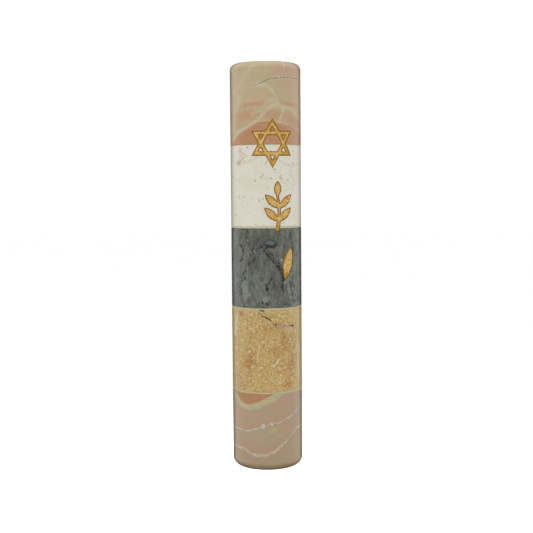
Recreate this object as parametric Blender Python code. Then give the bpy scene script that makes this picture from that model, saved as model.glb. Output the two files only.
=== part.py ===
# Mezuzah case: a turned bar of five glued stone blocks, ground flat at the back, with a bore for
# a rolled parchment scroll, a rubber plug, three gold-filled engravings and a mounting tape.
#
# Frame: metres, +Z up, the front faces -Y. The origin is the centre of the tape's outer face, so
# the wall that the case hangs on is the plane y = 0.

import math

import bmesh
import bpy
from mathutils import Matrix

# The bar.
CASE_HEIGHT = 0.150
BAR_RADIUS = 0.0131
BACK_DEPTH = 0.0090  # from the bar's axis to its ground-flat back
END_ROUND = 0.0030  # rounding of the top and bottom edges
GAP = 0.00025  # clearance between pieces that touch
SEAM_THICKNESS = 0.0005

# Block heights between seam centres, from the bottom up.
BLOCKS = (
    ("stone_bottom", 0.0294),
    ("stone_golden", 0.0310),
    ("stone_grey", 0.0298),
    ("stone_white", 0.0298),
    ("stone_top", 0.0300),
)

# Scroll bore, open at the bottom and blind in the top block, with a counterbore for the plug.
BORE_RADIUS = 0.0060
BORE_DEPTH = 0.1360
COUNTERBORE_RADIUS = 0.0083
COUNTERBORE_DEPTH = 0.0026

# Rubber plug: a flange with a dished grip, and a ribbed body.
FLANGE_RADIUS = 0.0080
FLANGE_THICKNESS = 0.0019
FLANGE_INSET = 0.0004  # the flange sits this far inside the bottom face
PLUG_BODY_RADIUS = 0.0053
PLUG_BODY_LENGTH = 0.0090
RIB_RADIUS = 0.0057
RIB_COUNT = 3
RIB_PITCH = 0.0026
DISH_RADIUS = 0.0052
RIB_START = 0.4  # pitches from the flange to the first rib
RIB_SHAPE = ((0.0, 0.0), (0.2, 1.0), (0.35, 1.0), (0.6, 0.0))  # pitches along, share of height
DISH_DEPTH = 0.0013
GRIP_WIDTH = 0.0020
GRIP_OVERLAP = 0.0004  # how far the grip bar runs into the flange
PLUG_CHAMFER = 0.0003

# Parchment: a square sheet rolled up with a hollow core.
SHEET_SIDE = 0.120
SHEET_THICKNESS = 0.00025
ROLL_RADIUS = 0.0056
CORE_RADIUS = 0.0034
ROLL_CLEARANCE = 0.0006  # between the plug's inner end and the roll

# Mounting tape on the back.
TAPE_WIDTH = 0.0150
TAPE_HEIGHT = 0.1200
TAPE_THICKNESS = 0.0010
TAPE_CORNER = 0.0020

# Engravings: their depth in the stone, and how far the gold lies below the surface.
ENGRAVING_DEPTH = 0.0010
GOLD_INSET = 0.00015
CUTTER_REACH = 0.0020  # how far an engraving's cutter stands out of the bar

# Star of two triangle outlines, across the top seam.
STAR_ANGLE = 11.0  # degrees round the bar, from the front towards +X
STAR_RADIUS = 0.0090
STAR_STROKE = 0.0016
STAR_RISE = 0.0005  # its centre above the top seam

# Olive sprig, its foot just below the second seam.
SPRIG_ANGLE = 18.0
SPRIG_LENGTH = 0.0140
SPRIG_FOOT = 0.0016
STEM_WIDTH = 0.0015
STEM_FOOT_SHARE = 1.15  # of the stem's width, at its foot
STEM_TIP_SHARE = 0.70  # and at its tip
STEM_BOW = 0.0008
LEAF_LENGTH = 0.0074
LEAF_WIDTH = 0.0029
LEAF_FULLNESS = 0.8  # smaller is blunter
LEAF_SPREAD = 46.0  # degrees between a leaf and the stem
LEAF_PAIRS = (0.26, 0.60)  # how far up the stem the leaf pairs stand
TIP_LEAF_FOOT = 0.90
TIP_LEAF_LENGTH = 0.0058

# Single leaf, on the grey block.
DROP_ANGLE = 31.0
DROP_TOP = 0.0068  # from the second seam down to its tip
DROP_LENGTH = 0.0124
DROP_WIDTH = 0.0044
DROP_LEAN = 14.0

BAR_SEGMENTS = 72
ROUND_SEGMENTS = 5
PLUG_SEGMENTS = 40
CORNER_SEGMENTS = 4
ROLL_SEGMENTS = 26  # in each turn
LEAF_SEGMENTS = 10
STAR_CUTS = 11
MERGE = 1e-7

AXIS_Y = -(TAPE_THICKNESS + GAP + BACK_DEPTH)
BOTTOM = -CASE_HEIGHT / 2
TOP = CASE_HEIGHT / 2

# Base colours (linear RGB), roughness and metallic value of each material.
MATERIALS = {
    "pink_stone": ((0.40, 0.27, 0.17), 0.35, 0.0),
    "white_stone": ((0.63, 0.62, 0.52), 0.40, 0.0),
    "grey_stone": ((0.14, 0.14, 0.12), 0.35, 0.0),
    "golden_stone": ((0.43, 0.30, 0.14), 0.40, 0.0),
    "seam_resin": ((0.48, 0.42, 0.29), 0.35, 0.0),
    "gold_fill": ((0.60, 0.40, 0.14), 0.35, 0.3),
    "plug_rubber": ((0.05, 0.05, 0.05), 0.80, 0.0),
    "parchment": ((0.72, 0.62, 0.44), 0.75, 0.0),
    "foam_tape": ((0.75, 0.75, 0.73), 0.85, 0.0),
}


def clear_scene():
    for obj in list(bpy.data.objects):
        bpy.data.objects.remove(obj, do_unlink=True)


def material(name):
    found = bpy.data.materials.get(name)
    if found:
        return found
    color, roughness, metallic = MATERIALS[name]
    made = bpy.data.materials.new(name)
    made.use_nodes = True
    shader = made.node_tree.nodes["Principled BSDF"]
    shader.inputs["Base Color"].default_value = (*color, 1.0)
    shader.inputs["Roughness"].default_value = roughness
    shader.inputs["Metallic"].default_value = metallic
    return made


def add_object(name, bm, material_name=None, location=(0.0, 0.0, 0.0)):
    mesh = bpy.data.meshes.new(name)
    bm.to_mesh(mesh)
    bm.free()
    obj = bpy.data.objects.new(name, mesh)
    obj.location = location
    bpy.context.scene.collection.objects.link(obj)
    if material_name:
        mesh.materials.append(material(material_name))
        mesh.shade_smooth()
        mesh.set_sharp_from_angle(angle=math.radians(30))
    return obj


def hide_cutter(obj):
    obj.hide_render = True
    obj.display_type = "WIRE"


def combine(obj, other, operation):
    hide_cutter(other)
    modifier = obj.modifiers.new(other.name, "BOOLEAN")
    modifier.operation = operation
    modifier.object = other
    modifier.solver = "EXACT"


def turned(profile, segments, closed):
    # A profile of (radius, height) points, spun round +Z.
    bm = bmesh.new()
    verts = [bm.verts.new((radius, 0.0, height)) for radius, height in profile]
    pairs = list(zip(verts, verts[1:]))
    if closed:
        pairs.append((verts[-1], verts[0]))
    edges = [bm.edges.new(pair) for pair in pairs]
    bmesh.ops.spin(
        bm, geom=verts + edges, cent=(0, 0, 0), axis=(0, 0, 1),
        angle=math.tau, steps=segments, use_merge=True,
    )
    bmesh.ops.remove_doubles(bm, verts=bm.verts[:], dist=MERGE)
    bmesh.ops.recalc_face_normals(bm, faces=bm.faces[:])
    return bm


def quarter_round(radius, height, rounding, rising):
    # The rounded edge between a flat end and the bar's side, from the end face outwards.
    points = []
    centre_height = height - rounding if rising else height + rounding
    for step in range(ROUND_SEGMENTS + 1):
        turn = math.pi / 2 * step / ROUND_SEGMENTS
        rise = rounding * math.cos(turn)
        points.append((
            radius - rounding + rounding * math.sin(turn),
            centre_height + (rise if rising else -rise),
        ))
    return points


# ---- stone blocks and seams

def block_spans():
    # Each block's height range, and the seams' centre heights from the bottom up.
    spans = {}
    seams = []
    low = BOTTOM
    margin = SEAM_THICKNESS / 2 + GAP
    for name, height in BLOCKS:
        high = low + height
        spans[name] = (
            low if name == "stone_bottom" else low + margin,
            high if name == "stone_top" else high - margin,
        )
        if name != "stone_top":
            seams.append(high)
        low = high
    return spans, seams


def ring_profile(low, high, hole_radius):
    return [(hole_radius, low), (BAR_RADIUS, low), (BAR_RADIUS, high), (hole_radius, high)]


def top_profile(low):
    bore_end = BOTTOM + BORE_DEPTH
    rounded = quarter_round(BAR_RADIUS, TOP, END_ROUND, rising=True)
    return [(0.0, TOP)] + rounded + [
        (BAR_RADIUS, low), (BORE_RADIUS, low), (BORE_RADIUS, bore_end), (0.0, bore_end),
    ]


def bottom_profile(high):
    counterbore_end = BOTTOM + COUNTERBORE_DEPTH
    rounded = quarter_round(BAR_RADIUS, BOTTOM, END_ROUND, rising=False)
    return [(COUNTERBORE_RADIUS, BOTTOM)] + rounded + [
        (BAR_RADIUS, high), (BORE_RADIUS, high),
        (BORE_RADIUS, counterbore_end), (COUNTERBORE_RADIUS, counterbore_end),
    ]


def grind_back(bm):
    # Cuts the turned bar along its flat back, and closes the cut.
    geometry = bm.verts[:] + bm.edges[:] + bm.faces[:]
    cut = bmesh.ops.bisect_plane(
        bm, geom=geometry, plane_co=(0, BACK_DEPTH, 0), plane_no=(0, 1, 0), clear_outer=True,
    )
    rim = [item for item in cut["geom_cut"] if isinstance(item, bmesh.types.BMEdge)]
    bmesh.ops.holes_fill(bm, edges=rim, sides=0)
    bmesh.ops.recalc_face_normals(bm, faces=bm.faces[:])


def make_bar_piece(name, profile, material_name, closed=True):
    bm = turned(profile, BAR_SEGMENTS, closed)
    grind_back(bm)
    return add_object(name, bm, material_name, (0.0, AXIS_Y, 0.0))


def make_stones(spans):
    profiles = {name: ring_profile(*span, BORE_RADIUS) for name, span in spans.items()}
    profiles["stone_top"] = top_profile(spans["stone_top"][0])
    profiles["stone_bottom"] = bottom_profile(spans["stone_bottom"][1])
    finishes = {
        "stone_top": "pink_stone",
        "stone_white": "white_stone",
        "stone_grey": "grey_stone",
        "stone_golden": "golden_stone",
        "stone_bottom": "pink_stone",
    }
    return {
        name: make_bar_piece(name, profile, finishes[name], closed=name != "stone_top")
        for name, profile in profiles.items()
    }


def make_seams(heights):
    seams = []
    for number, height in enumerate(reversed(heights), 1):
        low = height - SEAM_THICKNESS / 2
        profile = ring_profile(low, low + SEAM_THICKNESS, BORE_RADIUS + GAP)
        seams.append(make_bar_piece(f"resin_seam_{number}", profile, "seam_resin"))
    return seams


# ---- engravings: drawn flat, x round the bar and y up it, then wrapped onto the bar

def star_triangle(grow, turn):
    # One triangle outline of the star, widened on each side by grow.
    bm = bmesh.new()
    made = bmesh.ops.create_circle(
        bm, cap_ends=True, segments=3, radius=STAR_RADIUS + 2 * grow, matrix=turn
    )
    face = made["verts"][0].link_faces[0]
    bmesh.ops.inset_region(
        bm, faces=[face], thickness=STAR_STROKE + 2 * grow,
        use_boundary=True, use_even_offset=True,
    )
    bmesh.ops.delete(bm, geom=[face], context="FACES_ONLY")
    sides = [edge for edge in bm.edges if edge.is_boundary]
    bmesh.ops.subdivide_edges(bm, edges=sides, cuts=STAR_CUTS, use_grid_fill=True)
    return bm


def leaf_shape(length, width, grow, lean, foot):
    # A pointed leaf from its foot, leaning by so many degrees towards +X.
    bm = bmesh.new()
    bmesh.ops.create_grid(bm, x_segments=2, y_segments=LEAF_SEGMENTS, size=0.5)
    direction = math.radians(lean)
    for vert in bm.verts:
        along = vert.co.y + 0.5
        across = 2 * vert.co.x * (width / 2 + grow) * math.sin(math.pi * along) ** LEAF_FULLNESS
        reach = along * (length + 2 * grow) - grow
        vert.co.x = foot[0] + reach * math.sin(direction) + across * math.cos(direction)
        vert.co.y = foot[1] + reach * math.cos(direction) - across * math.sin(direction)
    bmesh.ops.remove_doubles(bm, verts=bm.verts[:], dist=MERGE)
    return bm


def stem_middle(along):
    # The stem's centre line, bowed to one side.
    return STEM_BOW * math.sin(math.pi * along), SPRIG_LENGTH * along


def stem_shape(grow):
    bm = bmesh.new()
    bmesh.ops.create_grid(bm, x_segments=1, y_segments=LEAF_SEGMENTS, size=0.5)
    for vert in bm.verts:
        along = vert.co.y + 0.5
        share = STEM_FOOT_SHARE + (STEM_TIP_SHARE - STEM_FOOT_SHARE) * along
        across = 2 * vert.co.x * (STEM_WIDTH / 2 * share + grow)
        middle, height = stem_middle(along)
        vert.co.x = middle + across
        vert.co.y = height + (2 * along - 1) * grow
    return bm


def flat_solid(name, bm, low, high):
    # Gives a flat outline its depth, from low to high in z.
    for vert in bm.verts:
        vert.co.z = low
    grown = bmesh.ops.extrude_face_region(bm, geom=bm.faces[:])
    for item in grown["geom"]:
        if isinstance(item, bmesh.types.BMVert):
            item.co.z = high
    bmesh.ops.recalc_face_normals(bm, faces=bm.faces[:])
    return add_object(name, bm)


def star_outlines(grow):
    half_turn = Matrix.Rotation(math.pi, 4, "Z")
    return [star_triangle(grow, Matrix.Identity(4)), star_triangle(grow, half_turn)]


def sprig_outlines(grow):
    outlines = [stem_shape(grow)]
    for along in LEAF_PAIRS:
        for lean in (-LEAF_SPREAD, LEAF_SPREAD):
            outlines.append(leaf_shape(LEAF_LENGTH, LEAF_WIDTH, grow, lean, stem_middle(along)))
    foot = stem_middle(TIP_LEAF_FOOT)
    outlines.append(leaf_shape(TIP_LEAF_LENGTH, LEAF_WIDTH, grow, 0.0, foot))
    return outlines


def drop_outlines(grow):
    return [leaf_shape(DROP_LENGTH, DROP_WIDTH, grow, DROP_LEAN, (0.0, 0.0))]


def wrapped(name, outlines, low, high, angle, height):
    # Joins the flat solids of some outlines, then wraps them onto the bar.
    solids = [flat_solid(f"{name}_{index}", bm, low, high) for index, bm in enumerate(outlines)]
    for other in solids[1:]:
        combine(solids[0], other, "UNION")
    bm = bmesh.new()
    bm.from_object(solids[0], bpy.context.evaluated_depsgraph_get())
    bmesh.ops.remove_doubles(bm, verts=bm.verts[:], dist=MERGE)
    bmesh.ops.triangulate(bm, faces=bm.faces[:])
    for vert in bm.verts:
        turn = math.radians(angle) + vert.co.x / BAR_RADIUS
        radius = BAR_RADIUS + vert.co.z
        vert.co = (radius * math.sin(turn), -radius * math.cos(turn), vert.co.y + height)
    bmesh.ops.recalc_face_normals(bm, faces=bm.faces[:])
    for obj in solids:
        bpy.data.objects.remove(obj, do_unlink=True)
    return bm


def engrave(name, outlines, angle, height, targets):
    # Cuts one engraving into the pieces it crosses, and fills it with gold.
    place = (0.0, AXIS_Y, 0.0)
    cut = wrapped(name, outlines(GAP), -ENGRAVING_DEPTH - GAP, CUTTER_REACH, angle, height)
    cutter = add_object(f"{name}_recess", cut, location=place)
    for target in targets:
        combine(target, cutter, "DIFFERENCE")
    fill = wrapped(name, outlines(0.0), -ENGRAVING_DEPTH, -GOLD_INSET, angle, height)
    return add_object(name, fill, "gold_fill", place)


def make_ornaments(stones, seams, seam_heights):
    first_seam = seam_heights[-1]
    second_seam = seam_heights[-2]
    engrave(
        "ornament_star", star_outlines, STAR_ANGLE, first_seam + STAR_RISE,
        (stones["stone_top"], seams[0], stones["stone_white"]),
    )
    engrave(
        "ornament_sprig", sprig_outlines, SPRIG_ANGLE, second_seam - SPRIG_FOOT,
        (stones["stone_white"], seams[1], stones["stone_grey"]),
    )
    drop_foot = second_seam - DROP_TOP - DROP_LENGTH
    engrave("ornament_leaf", drop_outlines, DROP_ANGLE, drop_foot, (stones["stone_grey"],))


# ---- plug, scroll and tape

def plug_profile():
    # From the middle of the dish, over the flange and along the ribbed body to its inner end.
    body_end = FLANGE_THICKNESS + PLUG_BODY_LENGTH
    points = [
        (0.0, DISH_DEPTH),
        (DISH_RADIUS - PLUG_CHAMFER, DISH_DEPTH),
        (DISH_RADIUS, 0.0),
        (FLANGE_RADIUS - PLUG_CHAMFER, 0.0),
        (FLANGE_RADIUS, PLUG_CHAMFER),
        (FLANGE_RADIUS, FLANGE_THICKNESS),
        (PLUG_BODY_RADIUS, FLANGE_THICKNESS),
    ]
    rise = RIB_RADIUS - PLUG_BODY_RADIUS
    for number in range(RIB_COUNT):
        start = FLANGE_THICKNESS + RIB_PITCH * (number + RIB_START)
        for along, share in RIB_SHAPE:
            points.append((PLUG_BODY_RADIUS + rise * share, start + RIB_PITCH * along))
    return points + [
        (PLUG_BODY_RADIUS, body_end - PLUG_CHAMFER),
        (PLUG_BODY_RADIUS - PLUG_CHAMFER, body_end),
        (0.0, body_end),
    ]


def make_plug():
    place = (0.0, AXIS_Y, BOTTOM + FLANGE_INSET)
    body = turned(plug_profile(), PLUG_SEGMENTS, closed=False)
    plug = add_object("bore_plug", body, "plug_rubber", place)
    bar = bmesh.new()
    bmesh.ops.create_cube(bar, size=1.0)
    size = (GRIP_WIDTH, 2 * (DISH_RADIUS + GRIP_OVERLAP), DISH_DEPTH)
    bmesh.ops.scale(bar, vec=size, verts=bar.verts[:])
    middle = (0, 0, (DISH_DEPTH + GRIP_OVERLAP) / 2)
    bmesh.ops.translate(bar, vec=middle, verts=bar.verts[:])
    combine(plug, add_object("grip_bar", bar, location=place), "UNION")


def make_scroll():
    mean_radius = (ROLL_RADIUS + CORE_RADIUS) / 2
    turns = SHEET_SIDE / (math.tau * mean_radius)
    outer = ROLL_RADIUS - SHEET_THICKNESS
    inner = CORE_RADIUS + SHEET_THICKNESS
    count = round(turns * ROLL_SEGMENTS)
    bm = bmesh.new()
    last = None
    edges = []
    for step in range(count + 1):
        along = step / count
        radius = outer + (inner - outer) * along
        turn = math.pi / 2 + math.tau * turns * along
        vert = bm.verts.new((radius * math.cos(turn), radius * math.sin(turn), 0.0))
        if last:
            edges.append(bm.edges.new((last, vert)))
        last = vert
    grown = bmesh.ops.extrude_edge_only(bm, edges=edges)
    raised = [item for item in grown["geom"] if isinstance(item, bmesh.types.BMVert)]
    bmesh.ops.translate(bm, vec=(0, 0, SHEET_SIDE), verts=raised)
    bmesh.ops.solidify(bm, geom=bm.faces[:], thickness=SHEET_THICKNESS)
    bmesh.ops.recalc_face_normals(bm, faces=bm.faces[:])
    plug_end = BOTTOM + FLANGE_INSET + FLANGE_THICKNESS + PLUG_BODY_LENGTH
    add_object("parchment_scroll", bm, "parchment", (0.0, AXIS_Y, plug_end + ROLL_CLEARANCE))


def make_tape():
    bm = bmesh.new()
    bmesh.ops.create_cube(bm, size=1.0)
    bmesh.ops.scale(bm, vec=(TAPE_WIDTH, TAPE_THICKNESS, TAPE_HEIGHT), verts=bm.verts[:])
    corners = [
        edge for edge in bm.edges if abs((edge.verts[0].co - edge.verts[1].co).y) > MERGE
    ]
    bmesh.ops.bevel(
        bm, geom=corners, offset=TAPE_CORNER, segments=CORNER_SEGMENTS, profile=0.5,
        affect="EDGES", material=-1,
    )
    add_object("back_tape", bm, "foam_tape", (0.0, -TAPE_THICKNESS / 2, 0.0))


def main():
    clear_scene()
    spans, seam_heights = block_spans()
    stones = make_stones(spans)
    seams = make_seams(seam_heights)
    make_ornaments(stones, seams, seam_heights)
    make_plug()
    make_scroll()
    make_tape()


main()
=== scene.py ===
import math

import bmesh
import bpy
from mathutils import Matrix, Vector, geometry, noise


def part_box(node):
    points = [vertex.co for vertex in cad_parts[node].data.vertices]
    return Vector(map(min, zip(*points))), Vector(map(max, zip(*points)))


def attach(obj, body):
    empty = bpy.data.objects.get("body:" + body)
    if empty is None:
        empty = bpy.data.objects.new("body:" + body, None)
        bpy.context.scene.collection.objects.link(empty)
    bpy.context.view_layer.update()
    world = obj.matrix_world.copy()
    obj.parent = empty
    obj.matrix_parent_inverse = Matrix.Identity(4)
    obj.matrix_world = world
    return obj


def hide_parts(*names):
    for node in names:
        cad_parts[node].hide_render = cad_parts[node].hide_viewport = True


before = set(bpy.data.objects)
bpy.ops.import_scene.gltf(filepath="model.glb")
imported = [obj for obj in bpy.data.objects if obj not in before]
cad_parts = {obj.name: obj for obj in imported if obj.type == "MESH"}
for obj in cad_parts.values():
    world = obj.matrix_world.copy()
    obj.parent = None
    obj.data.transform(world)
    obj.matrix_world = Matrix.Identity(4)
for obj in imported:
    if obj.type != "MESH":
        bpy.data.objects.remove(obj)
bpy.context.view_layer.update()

# Lengths are metres, like the frame. Patterns in the materials are drawn in millimetres.
mm = 0.001
tiny = 1e-7              # points closer than this are one point

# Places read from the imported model.
stoneLow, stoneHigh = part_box("stone_white")
barRadius = (stoneHigh.x - stoneLow.x) / 2
axisY = stoneLow.y + barRadius
backY = stoneHigh.y
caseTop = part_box("stone_top")[1].z
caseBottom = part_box("stone_bottom")[0].z
seamNames = ["resin_seam_1", "resin_seam_2", "resin_seam_3", "resin_seam_4"]
seamZ = [(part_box(name)[0].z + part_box(name)[1].z) / 2 for name in seamNames]

bar = {
    "steps": 240,            # faces round the bar
    "row": 0.36 * mm,        # height of a row of faces up its side
    "rounding": {"top": 2.4 * mm, "bottom": 3.0 * mm},
    "roundSteps": 10,
    "arris": 0.08 * mm,      # worn edge beside each seam
    "bore": 6.0 * mm,
    "boreEnd": caseBottom + 136.0 * mm,
    "plugSeat": 8.3 * mm,    # radius of the recess that takes the plug's flange
    "plugSeatDepth": 2.6 * mm,
    "ripple": 0.012 * mm,    # hand-lapped unevenness
    "rippleGrain": 130,      # waves in a metre, near enough
    "chip": 0.22 * mm,       # deepest chip along a seam
    "chipReach": 0.45 * mm,  # how far a chip runs up from its seam
    "chipGrain": 520,
    "chipTurn": 900,         # sets the two ends of a block apart
    "chipShare": 0.34,       # higher leaves fewer chips
    "backEdge": 0.05 * mm,   # how much the back's sharp edges are eased
}

# How thick each resin seam shows, from the top one down.
seamThickness = [0.16 * mm, 0.62 * mm, 0.55 * mm, 0.66 * mm]
seamSink = 0.03 * mm


# mesh helpers

def newObject(name, bm, *materials):
    mesh = bpy.data.meshes.new(name)
    bm.to_mesh(mesh)
    bm.free()
    for material in materials:
        mesh.materials.append(material)
    obj = bpy.data.objects.new(name, mesh)
    bpy.context.scene.collection.objects.link(obj)
    return obj


def smooth(obj, degrees=32):
    obj.data.shade_smooth()
    obj.data.set_sharp_from_angle(angle=math.radians(degrees))


def join(obj, others, operation):
    # cuts the others out of obj, or adds them to it, and then removes them
    for other in others:
        modifier = obj.modifiers.new(operation.lower(), "BOOLEAN")
        modifier.operation = operation
        modifier.solver = "EXACT"
        modifier.object = other
    bpy.context.view_layer.update()
    graph = bpy.context.evaluated_depsgraph_get()
    mesh = bpy.data.meshes.new_from_object(obj.evaluated_get(graph))
    obj.modifiers.clear()
    obj.data = mesh
    for other in others:
        bpy.data.objects.remove(other, do_unlink=True)
    return obj


def spun(points, steps, closed, divided=()):
    # spins (radius, height) points round +Z; divided holds (edge, rows) to split first
    bm = bmesh.new()
    verts = [bm.verts.new((radius, 0, height)) for radius, height in points]
    ends = verts[1:] + verts[:1] if closed else verts[1:]
    edges = [bm.edges.new(pair) for pair in zip(verts, ends)]
    for edge, rows in divided:
        bmesh.ops.subdivide_edges(bm, edges=[edges[edge]], cuts=rows - 1)
    bmesh.ops.spin(bm, geom=bm.verts[:] + bm.edges[:], cent=(0, 0, 0), axis=(0, 0, 1), angle=math.tau,
                   steps=steps, use_merge=True)
    bmesh.ops.remove_doubles(bm, verts=bm.verts[:], dist=tiny)
    facing(bm)
    return bm


def shaved(bm, point, normal):
    # cuts away what lies beyond a plane, and closes the cut
    everything = bm.verts[:] + bm.edges[:] + bm.faces[:]
    cut = bmesh.ops.bisect_plane(bm, geom=everything, plane_co=point, plane_no=normal, clear_outer=True)
    rim = [item for item in cut["geom_cut"] if isinstance(item, bmesh.types.BMEdge)]
    bmesh.ops.holes_fill(bm, edges=rim, sides=0)


def sliced(bm, axis, low, high, count):
    # cuts the mesh into so many equal layers along one axis
    normal = Vector((axis == 0, axis == 1, axis == 2))
    for step in range(1, count):
        bmesh.ops.bisect_plane(bm, geom=bm.verts[:] + bm.edges[:] + bm.faces[:],
                               plane_co=normal * (low + (high - low) * step / count), plane_no=normal)


def facing(bm):
    bmesh.ops.recalc_face_normals(bm, faces=bm.faces[:])


def outward(bm):
    facing(bm)
    if bm.calc_volume(signed=True) < 0:
        bmesh.ops.reverse_faces(bm, faces=bm.faces[:])


def groundFlat(bm, radius, depth):
    # grinds the turned bar flat at the back and eases its two long edges
    shaved(bm, (0, depth, 0), (0, 1, 0))
    half = math.sqrt(radius * radius - depth * depth)
    for side in (-1, 1):
        normal = (Vector((side * half, depth, 0)).normalized() + Vector((0, 1, 0))).normalized()
        shaved(bm, Vector((side * half, depth, 0)) - normal * bar["backEdge"], normal)
    facing(bm)


# node helpers: they add to the tree that was begun last

drawing = {}


def begin(tree):
    drawing["tree"] = tree
    return tree


def connect(made, inputs):
    for key, value in inputs.items():
        if isinstance(value, bpy.types.NodeSocket):
            drawing["tree"].links.new(value, made.inputs[key])
        else:
            made.inputs[key].default_value = value


def put(kind, inputs=None, **settings):
    made = drawing["tree"].nodes.new("ShaderNode" + kind)
    for key, value in settings.items():
        setattr(made, key, value)
    connect(made, inputs or {})
    return made.outputs


def maths(operation, *values):
    return put("Math", dict(enumerate(values)), operation=operation)[0]


def plus(first, second):
    return maths("ADD", first, second)


def minus(first, second):
    return maths("SUBTRACT", first, second)


def times(first, second):
    return maths("MULTIPLY", first, second)


def larger(first, second):
    return maths("MAXIMUM", first, second)


def fade(value, low, high, start=0.0, end=1.0):
    # start below low, end above high, and an even change between them
    return put("MapRange", {0: value, 1: low, 2: high, 3: start, 4: end},
               interpolation_type="SMOOTHSTEP")[0]


def mixed(share, first, second):
    return put("Mix", {0: share, 6: first, 7: second}, data_type="RGBA")[2]


def laid(under, mask, share, over):
    # a coat of colour over another, where the mask is
    return mixed(times(mask, share), under, over)


def split(vector):
    return put("SeparateXYZ", {0: vector})


def noisy(vector, scale, detail=2.0, rough=0.5, distortion=0.0):
    return put("TexNoise", {"Vector": vector, "Scale": scale, "Detail": detail, "Roughness": rough,
                            "Distortion": distortion})[0]


def stretched(vector, scale, turn=(0, 0, 0)):
    return put("Mapping", {"Vector": vector, "Scale": scale, "Rotation": turn})[0]


def linear(part):
    part /= 255
    return part / 12.92 if part <= 0.04045 else ((part + 0.055) / 1.055) ** 2.4


studio = {
    "gain": 0.985,       # how bright the soft light makes a matt white
    "gloss": 0.038,      # what the polish adds to every colour
    "sky": 1.29,
    "below": 0.05,       # light that comes up from under the case
    "behind": 0.06,      # and from straight behind it
    "seen": 1.1,         # the backdrop's own brightness in the picture
    "floorRadius": 6.0,
    "floorDrop": 0.21,   # floor below the case, clear of the drawn scroll
}


def tone(red, green, blue, gloss=studio["gloss"]):
    # the paint that looks like this colour, 0 to 255, in the studio's light
    parts = [max(0.003, (linear(part) - gloss) / studio["gain"]) for part in (red, green, blue)]
    return (*parts, 1.0)


def group(name, inputs, outputs):
    # a node group with float or vector sockets, and its two ends
    tree = begin(bpy.data.node_groups.new(name, "ShaderNodeTree"))
    for direction, sockets in (("INPUT", inputs), ("OUTPUT", outputs)):
        for title, kind in sockets.items():
            tree.interface.new_socket(name=title, in_out=direction, socket_type="NodeSocket" + kind)
    return tree, tree.nodes.new("NodeGroupInput").outputs, tree.nodes.new("NodeGroupOutput").inputs


def use(made, inputs):
    holder = drawing["tree"].nodes.new("ShaderNodeGroup")
    holder.node_tree = made
    connect(holder, inputs)
    return holder.outputs


def makeBedding():
    # millimetres in the stone, slanted with depth and warped, so that no vein runs straight
    tree, given, out = group("bedding", {"Vector": "Vector", "Depth": "Float", "Slant": "Float",
                                         "Warp": "Float"}, {"X": "Float", "Z": "Float", "Warped": "Vector"})
    parts = split(given["Vector"])
    depth = minus(parts[1], given["Depth"])
    broad = put("TexNoise", {"Vector": given["Vector"], "Scale": 0.28, "Detail": 2.0})[1]
    fine = put("TexNoise", {"Vector": given["Vector"], "Scale": 1.6, "Detail": 3.0})[1]
    broadParts = put("SeparateColor", {0: broad})
    fineParts = put("SeparateColor", {0: fine})
    moved = []
    for index, slant in ((0, 0.35), (2, 1.0)):
        wave = minus(broadParts[index], 0.5)
        shiver = times(minus(fineParts[index], 0.5), 0.45)
        shift = times(plus(wave, shiver), given["Warp"])
        lean = times(times(depth, given["Slant"]), slant)
        moved.append(plus(plus(parts[index], shift), lean))
    tree.links.new(moved[0], out["X"])
    tree.links.new(moved[1], out["Z"])
    tree.links.new(put("CombineXYZ", {0: moved[0], 1: parts[1], 2: moved[1]})[0], out["Warped"])
    return tree


def makeLine():
    # 1 within half a width of the path, fading out over the softness
    tree, given, out = group("veinLine", {"Offset": "Float", "Width": "Float", "Softness": "Float"},
                             {"Mask": "Float"})
    away = maths("ABSOLUTE", given["Offset"])
    edge = minus(away, times(given["Width"], 0.5))
    share = maths("DIVIDE", edge, given["Softness"])
    tree.links.new(fade(share, 0.0, 1.0, 1.0, 0.0), out["Mask"])
    return tree


def makePatch():
    # a soft oval of colour with a broken edge
    tree, given, out = group("patch", {"X": "Float", "Z": "Float", "CentreX": "Float", "CentreZ": "Float",
                                       "HalfWidth": "Float", "HalfHeight": "Float", "Softness": "Float"},
                             {"Mask": "Float"})
    across = maths("DIVIDE", minus(given["X"], given["CentreX"]), given["HalfWidth"])
    up = maths("DIVIDE", minus(given["Z"], given["CentreZ"]), given["HalfHeight"])
    reach = maths("SQRT", plus(times(across, across), times(up, up)))
    share = maths("DIVIDE", minus(reach, 1.0), given["Softness"])
    tree.links.new(fade(share, -1.0, 1.0, 1.0, 0.0), out["Mask"])
    return tree


def makeSpecks():
    # scattered grains: a share of the cells of a fine net, each with a dot of its own size
    tree, given, out = group("specks", {"Vector": "Vector", "PerMillimetre": "Float", "Share": "Float",
                                        "Size": "Float"}, {"Mask": "Float"})
    cells = put("TexVoronoi", {"Vector": given["Vector"], "Scale": given["PerMillimetre"]})
    pick = put("SeparateColor", {0: cells["Color"]})
    chosen = fade(minus(pick[0], given["Share"]), -0.01, 0.01, 1.0, 0.0)
    size = times(given["Size"], plus(pick[1], 0.35))
    ragged = times(noisy(given["Vector"], 3.0, 2.0), 0.12)
    reach = plus(cells["Distance"], ragged)
    dot = fade(minus(reach, size), -0.05, 0.08, 1.0, 0.0)
    tree.links.new(times(chosen, dot), out["Mask"])
    return tree


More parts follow.
